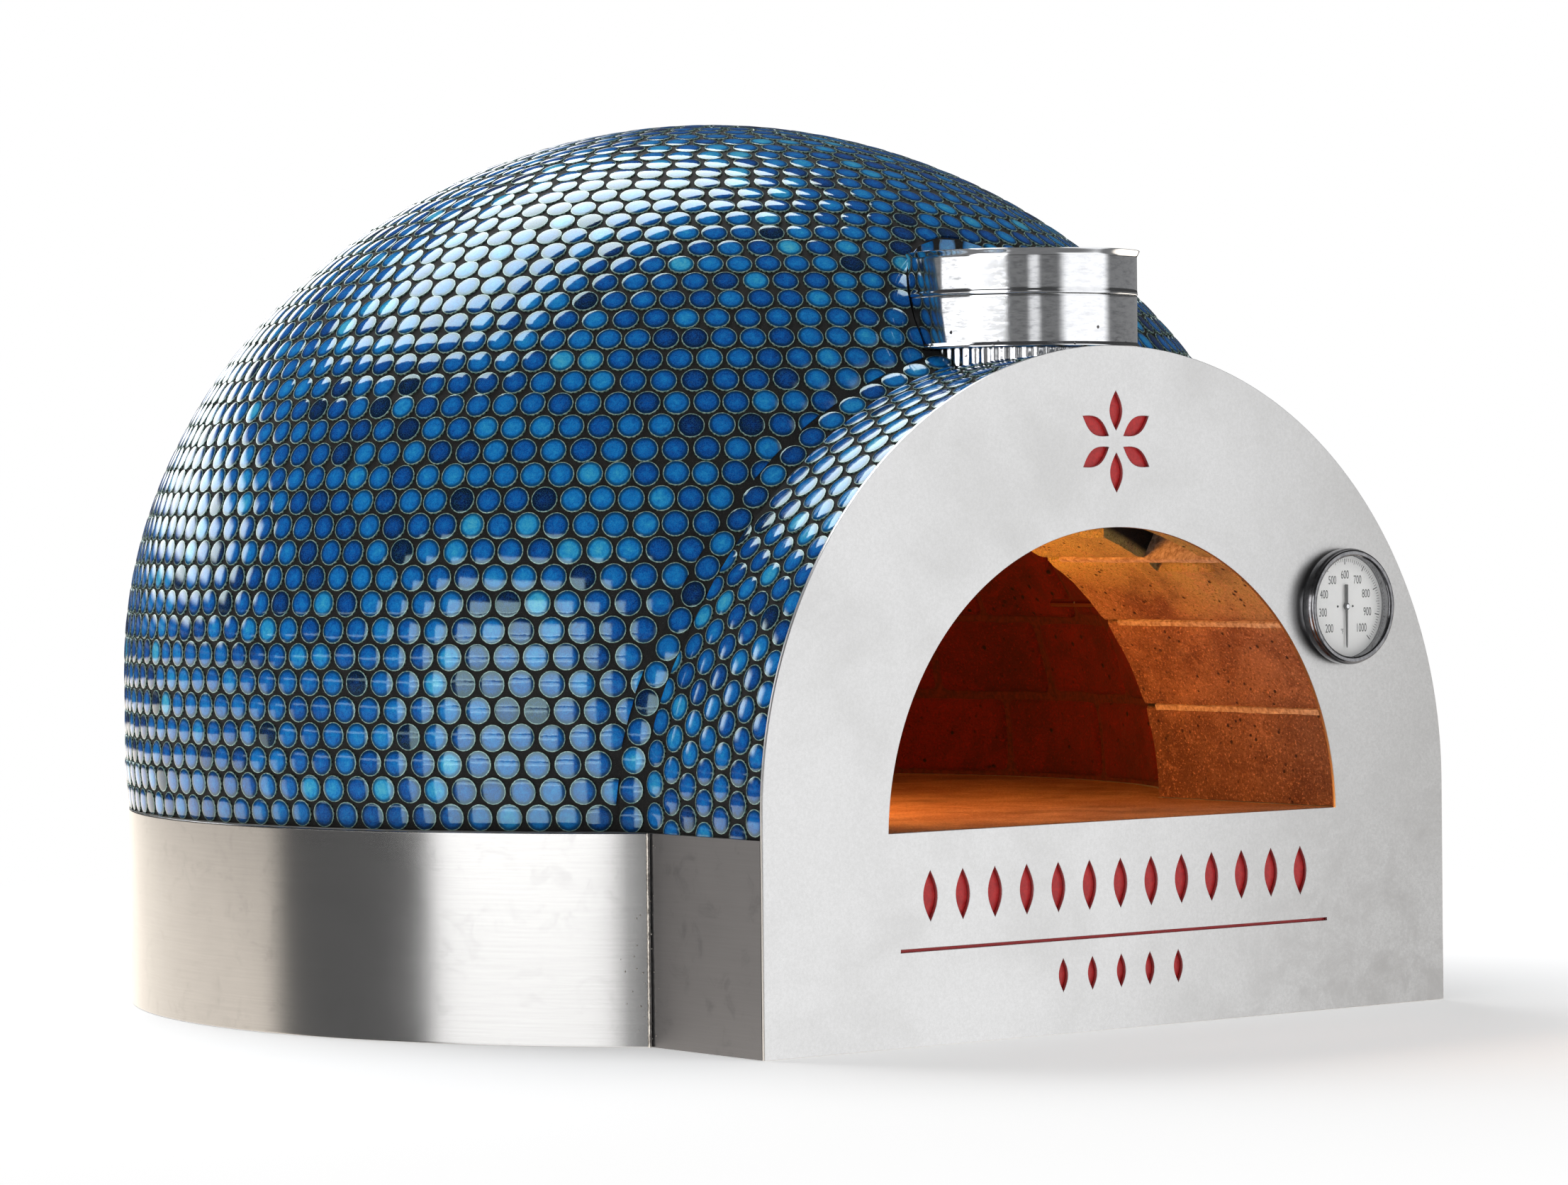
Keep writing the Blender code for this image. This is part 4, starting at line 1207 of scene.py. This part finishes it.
def brickBlock(wide, tall, deep, draw):
    # One brick with worn corners and an uneven face, its inner face at Y = 0
    bm = bmesh.new()
    bmesh.ops.create_cube(bm, size=1.0, matrix=Matrix.Diagonal((wide, deep, tall, 1)))
    size = liningLook["roundness"] * draw.uniform(0.8, 1.2)
    bmesh.ops.bevel(bm, geom=bm.edges[:], offset=size, offset_type="OFFSET", segments=3, profile=0.5,
                    affect="EDGES", material=-1)
    large = [e for e in bm.edges if e.calc_length() > 0.02]
    bmesh.ops.subdivide_edges(bm, edges=large, cuts=5, use_grid_fill=True)
    bmesh.ops.translate(bm, verts=bm.verts, vec=(0, deep / 2, 0))
    seed = Vector((draw.uniform(0, 50), draw.uniform(0, 50), 0))
    lean = draw.uniform(-0.0016, 0.0016)
    for vert in bm.verts:
        vert.co.y += noise.fractal(vert.co / 0.03 + seed, 1.0, 2.0, 3) * 0.0024 + lean
    return bm


def makeMortar():
    # Mortar behind the bricks' faces, closed at the crown by the plug
    look = liningLook
    steps = 28
    angles = [math.radians(look["crown"]) * i / steps for i in range(steps + 1)]
    inner = [liningPoint(t, look["recess"]) for t in angles]
    outer = [liningPoint(t, look["brick"] - 0.001) for t in reversed(angles)]
    bm = turned(inner + outer, 96, (0, domeAxis, 0))
    shell = makePiece("wall_mortar", bm, sootAndShadeMortar)
    start = math.degrees(math.asin((floorHeight - 0.002 - mouthCentre) / (archOuter + 0.001)))
    passage = arc(archOuter + 0.001, start, 180 - start, 60, (0, mouthCentre))
    cutter = makeCutter("passage", extruded(passage, plateLow.y, domeAxis))
    carve(shell, cutter)
    bpy.data.objects.remove(cutter)


def makeEntry():
    # The entry arch: separate blocks with worn edges, cut off where the chamber starts
    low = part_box("arch_block_right_1")[0]
    front = low.y
    inside = [(0, floorHeight - 0.1), (liningLook["radius"], floorHeight - 0.1)]
    inside += [liningPoint(math.radians(90 * i / 40), 0) for i in range(40)]
    inside.append((0, floorHeight + liningLook["rise"]))
    chamber = makeCutter("chamber", turned(inside, 120, (0, domeAxis, 0)))
    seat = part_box("flue_spigot")[0].z - 0.0003
    below, over = 0.2, 0.6
    narrow, wide = entryLook["throat"], entryLook["socket"]
    profile = [(0, below), (narrow, below), (narrow, seat), (wide, seat), (wide, over), (0, over)]
    throat = makeCutter("throat", turned(profile, 64, (0, flueAxis, 0)))
    slot = bmesh.new()
    place = Matrix.Translation((0, front + entryLook["slotBack"], entryLook["slotHeight"]))
    bmesh.ops.create_cube(slot, size=1.0, matrix=place @ Matrix.Diagonal((*entryLook["slotSize"], 1)))
    bmesh.ops.subdivide_edges(slot, edges=slot.edges[:], cuts=14, use_grid_fill=True)
    roughen(slot, 0.012, 0.0030)
    slot = makeCutter("slot", slot)
    bore = turned([(0, 0), (stemBore, 0), (stemBore, 0.35), (0, 0.35)], 24)
    bmesh.ops.rotate(bore, verts=bore.verts, matrix=Matrix.Rotation(-math.pi / 2, 3, "X"))
    bmesh.ops.translate(bore, verts=bore.verts, vec=(dialCentre.x, front - 0.01, dialCentre.z))
    bore = makeCutter("bore", bore)
    span = entryLook["span"]
    spans = [(f"arch_block_right_{i + 1}", span * i, span * (i + 1)) for i in range(3)]
    spans += [("flue_block", span * 3, span * 6)]
    spans += [(f"arch_block_left_{3 - i}", span * (6 + i), span * (7 + i)) for i in range(3)]
    for name, start, end in spans:
        title = name.replace("arch_block", "entry_brick").replace("flue_block", "entry_crown")
        block = entryBlock(start, end, front)
        piece = makePiece(title, block, archBrick, replaced=[name], sharp=40)
        cutters = [chamber]
        if name == "flue_block":
            cutters.append(throat)
        if name in ("flue_block", "arch_block_right_3", "arch_block_left_3"):
            cutters.append(slot)
        if name == "arch_block_right_2":
            cutters.append(bore)
        carve(piece, *cutters)
    for cutter in (chamber, throat, slot, bore):
        bpy.data.objects.remove(cutter)
    makeEntryMortar(front)


def entryBlock(start, end, front):
    outline = []
    for radius, turns in ((archInner, (start, end)), (archOuter, (end, start))):
        gap = math.degrees(entryLook["joint"] / radius)
        level = math.degrees(math.asin((floorHeight + 0.0003 - mouthCentre) / radius))
        first = max(min(turns) + gap, level) if start == 0 else min(turns) + gap
        last = min(max(turns) - gap, 180 - level) if end == 180 else max(turns) - gap
        steps = max(8, round((end - start) / 1.6)) if radius == archInner else 6
        run = arc(radius, first, last, steps, (0, mouthCentre))
        outline += run if turns[0] < turns[1] else run[::-1]
    bm = extruded(softEnds(outline), front, entryLook["end"])
    depth = entryLook["end"] - front
    cuts = entryLook["cuts"]
    for step in range(1, cuts):
        bmesh.ops.bisect_plane(bm, geom=bm.verts[:] + bm.edges[:] + bm.faces[:],
                               plane_co=(0, front + depth * step / cuts, 0), plane_no=(0, 1, 0))
    bmesh.ops.recalc_face_normals(bm, faces=bm.faces)
    bm.normal_update()
    seed = Vector((start, end, 3.0))
    for vert in bm.verts:
        around = Vector((vert.co.x, 0, vert.co.z - mouthCentre))
        if around.length > archInner + 0.012:
            continue
        value = noise.fractal(vert.co / 0.018 + seed, 1.0, 2.0, 4)
        wave = noise.fractal(vert.co / 0.07 + seed, 1.0, 2.0, 2)
        vert.co += around.normalized() * (0.0011 * abs(value) + 0.0016 * abs(wave))
    return bm


def softEnds(outline):
    # Wears the two inner corners of a block: its first point and the last on the inner face
    worn = list(outline)
    centre = Vector((0, mouthCentre))
    away = [abs((Vector(point) - centre).length - archInner) for point in outline]
    last = max(range(len(outline)), key=lambda i: i * 0.001 - away[i] * 1000)
    for index in (0, last):
        point = Vector(outline[index])
        worn[index] = tuple(point + (point - centre).normalized() * entryLook["worn"])
    return worn


def makeEntryMortar(front):
    # Mortar in the joints of the entry arch, a little behind the bricks
    bm = bmesh.new()
    long = 0.185
    for joint in (1, 2, 3, 6, 7, 8):
        turn = math.radians(joint * entryLook["span"])
        across = Matrix.Rotation(-turn, 4, "Y")
        centre = Vector((math.cos(turn), 0, math.sin(turn))) * (archInner + 0.032)
        centre += Vector((0, front + long / 2, mouthCentre))
        size = Matrix.Diagonal((0.0628, long - 0.002, 0.0044, 1))
        bmesh.ops.create_cube(bm, size=1.0, matrix=Matrix.Translation(centre) @ across @ size)
    large = [e for e in bm.edges if e.calc_length() > 0.02]
    bmesh.ops.subdivide_edges(bm, edges=large, cuts=24, use_grid_fill=True)
    roughen(bm, 0.008, 0.0005)
    makePiece("entry_mortar", bm, mortar)


def makeCrownPlug():
    low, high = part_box("crown_plug")
    radius = high.x
    inner = liningPoint(math.radians(liningLook["crown"]), 0)
    profile = [(0, low.z + 0.001), (inner[0] * 0.6, low.z + 0.0004), (inner[0] - 0.002, inner[1] + 0.0005)]
    profile += [(radius - 0.001, high.z - 0.004), (radius * 0.6, high.z - 0.001), (0, high.z)]
    bm = turned(profile, 48, (0, domeAxis, 0))
    makePiece("crown_brick", bm, wallBrick, replaced=["crown_plug"])


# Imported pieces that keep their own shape
nodeFinishes = [
    (panelSteel, ["side_panel_left", "side_panel_right", "plate_angle_left", "plate_angle_right",
                  "floor_pan"]),
    (flueSteel, ["gauge_stem", "gauge_spindle"]),
    (redEnamel, ["emblem_backing", "frieze_backing"]),
    (concrete, ["base_block"]),
    (floorBrick, ["hearth_tile_1", "hearth_tile_2", "hearth_tile_3", "hearth_tile_4", "entry_slab"]),
    (woolFinish, ["insulation_blanket", "flue_packing"]),
    (renderFinish, ["render_shell"]),
    (brass, ["gauge_bush", "gauge_nut", "bimetal_coil"]),
]


def dressNodes():
    for finish, names in nodeFinishes:
        for name in names:
            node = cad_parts[name]
            for slot in node.material_slots:
                slot.material = finish.material
            if not node.material_slots:
                node.data.materials.append(finish.material)


# Studio
studio = {
    "overhead": {"place": (-0.12, 1.5, 2.55), "wide": 2.3, "deep": 1.9, "glow": 5.2},
    "panel": {"low": (-94, -57), "high": (-130, -83), "rise": (-40, 18), "glow": 2.1, "streak": 2.6,
              "lift": 0.9},
    "strip": {"turn": 148, "rise": (8, 20), "glow": 4.0},
    "card": {"turn": (-131, 73), "rise": (-60, -2.6), "glow": 1.5, "tint": (1.0, 0.90, 0.78), "fill": 0.16},
    "front": {"turn": (0, 53), "rise": (-35, 55), "glow": 1.14},
    "side": {"turn": (-34, -24), "rise": (0, 12), "glow": 0.8},
    "flueBand": {"rise": (1.3, 3.2), "fill": 0.20, "shade": 0.45},
    "dim": 0.06,
    "fire": {"place": (-0.20, -0.20, 0.30), "target": (0.20, -0.40, 0.27), "size": 0.12, "watts": 3.0,
             "colour": (1.0, 0.42, 0.085)},
    "embers": {"place": (-0.16, 0.02, 0.22), "size": 0.14, "watts": 1.3, "colour": (1.0, 0.060, 0.004)},
    "flare": {"place": (-0.235, -0.13, 0.31), "size": 0.05, "watts": 1.4, "colour": (1.0, 0.50, 0.06)},
}


def addLamp(name, kind, look, watts):
    light = bpy.data.lights.new(name, kind)
    light.energy = watts
    light.color = look.get("colour", (1, 1, 1))
    lamp = bpy.data.objects.new(name, light)
    lamp.location = look["place"]
    lamp.visible_camera = False
    scene.collection.objects.link(lamp)
    return lamp


def softLight(name, look, target, wide, tall, watts):
    lamp = addLamp(name, "AREA", look, watts)
    lamp.data.shape = "RECTANGLE"
    lamp.data.size = wide
    lamp.data.size_y = tall
    lamp.rotation_euler = (Vector(target) - lamp.location).to_track_quat("-Z", "Y").to_euler()


def makeLights():
    over = studio["overhead"]
    x, y, _ = over["place"]
    wide, deep = over["wide"], over["deep"]
    softLight("overhead_light", over, (x, y + 0.001, 0), wide, deep, over["glow"] * math.pi * wide * deep)
    fire = studio["fire"]
    softLight("fire", fire, fire["target"], fire["size"], fire["size"], fire["watts"])
    for name in ("embers", "flare"):
        lamp = addLamp(name, "POINT", studio[name], studio[name]["watts"])
        lamp.data.shadow_soft_size = studio[name]["size"] / 2


def makeWorld():
    # A white room for the camera; reflections see the panels round the object instead
    world = bpy.data.worlds.new("studio")
    scene.world = world
    world.use_nodes = True
    room = Nodes(world.node_tree)
    way = room.node("ShaderNodeTexCoord", {}, {}, "Generated")
    x, y, z = [room.node("ShaderNodeSeparateXYZ", {}, {0: way}, axis) for axis in range(3)]
    turn = room.maths("ARCTAN2", x, y * -1.0) * math.degrees(1)
    rise = room.maths("ARCSINE", z) * math.degrees(1)

    def window(value, limits, soft):
        low, high = limits
        return value.fade(low - soft, low + soft) * value.fade(high + soft, high - soft)

    panel, strip, card, front, side = [studio[key] for key in ("panel", "strip", "card", "front", "side")]
    band = studio["flueBand"]
    above = window(rise, band["rise"], 0.3)
    edges = [above * (high - low) + low for low, high in zip(panel["low"], panel["high"])]
    streaks = window(rise, (-2.6, -1.4), 0.5) + window(rise, (3.4, 4.6), 0.5)
    left = (turn - edges[0]).fade(-1.5, 1.5) * (turn - edges[1]).fade(2.5, -2.5)
    left = left * window(rise, panel["rise"], 2)
    tall = rise.fade(-3.1, -2.1) * panel["lift"]
    white = left * (streaks * panel["streak"] + tall + panel["glow"]) * (1 - above * band["shade"])
    white = white + above * band["fill"] + window(rise, card["rise"], 0.5) * card["fill"]
    behind = 1 - window(turn, (-strip["turn"], strip["turn"]), 4)
    white = white + behind * window(rise, strip["rise"], 3) * strip["glow"]
    for look, soft in ((front, 6), (side, 3)):
        white = white + window(turn, look["turn"], soft) * window(rise, look["rise"], soft) * look["glow"]
    white = white + studio["dim"]
    warm = (1 - window(turn, card["turn"], 4)) * window(rise, card["rise"], 0.5) * card["glow"]
    light = room.node("ShaderNodeCombineColor", {}, {i: white + warm * card["tint"][i] for i in range(3)})
    seen = room.node("ShaderNodeLightPath", {}, {}, "Is Camera Ray")
    room.join(room.mix(seen, light, (1.0, 1.0, 1.0)), world.node_tree.nodes["Background"].inputs["Color"])


def makeFloor():
    bm = bmesh.new()
    bmesh.ops.create_circle(bm, cap_ends=True, segments=96, radius=14.0)
    bmesh.ops.translate(bm, verts=bm.verts, vec=(0, 0, -0.0005))
    mesh = meshFrom("studio_floor", bm)
    finish = Finish("studio_paper", Roughness=1.0)
    finish.set("Specular IOR Level", 0.0)
    flat = finish.node("ShaderNodeVectorMath", {"operation": "LENGTH"}, {0: finish.place}, "Value")
    far = flat.fade(0.55, 1.5)
    finish.set("Base Color", finish.mix(far, (0.90, 0.90, 0.90), (0.0, 0.0, 0.0)))
    finish.set("Emission Color", finish.mix(far, (0.45, 0.45, 0.45), (1.0, 1.0, 1.0)))
    finish.shader.inputs["Emission Strength"].default_value = 1.0
    mesh.materials.append(finish.material)
    floor = bpy.data.objects.new("studio_floor", mesh)
    floor.visible_glossy = False
    scene.collection.objects.link(floor)


view = {"place": (-2.58551, -3.38251, 0.38277), "yaw": 0.66380, "pitch": 0.01600, "roll": -0.01079,
        "lens": 122.40}


def makeCamera():
    camera = bpy.data.objects.new("camera", bpy.data.cameras.new("camera"))
    camera.data.lens = view["lens"]
    camera.data.sensor_width = 36
    level = Matrix.Rotation(-view["yaw"], 4, "Z") @ Matrix.Rotation(math.pi / 2 - view["pitch"], 4, "X")
    camera.matrix_world = Matrix.Translation(view["place"]) @ level @ Matrix.Rotation(view["roll"], 4, "Z")
    scene.collection.objects.link(camera)
    scene.camera = camera


makeCamera()
makeFrontPlate()
makeSkirt()
for side, word in ((-1, "left"), (1, "right")):
    makeWeld(side, f"corner_weld_{word}", random.Random(11 + side))
print("steelwork ready")
makeGroutBeds()
for side, word in ((-1, "left"), (1, "right")):
    makeValley(side, word)
makeArchTiles()
makeDomeTiles()
makeFlueReveal()
print("tiles ready")
makeFlue()
makeGauge()
print("flue and thermometer ready")
makeLining()
makeMortar()
makeEntry()
makeCrownPlug()
dressNodes()
print("brickwork ready")
makeLights()
makeWorld()
makeFloor()
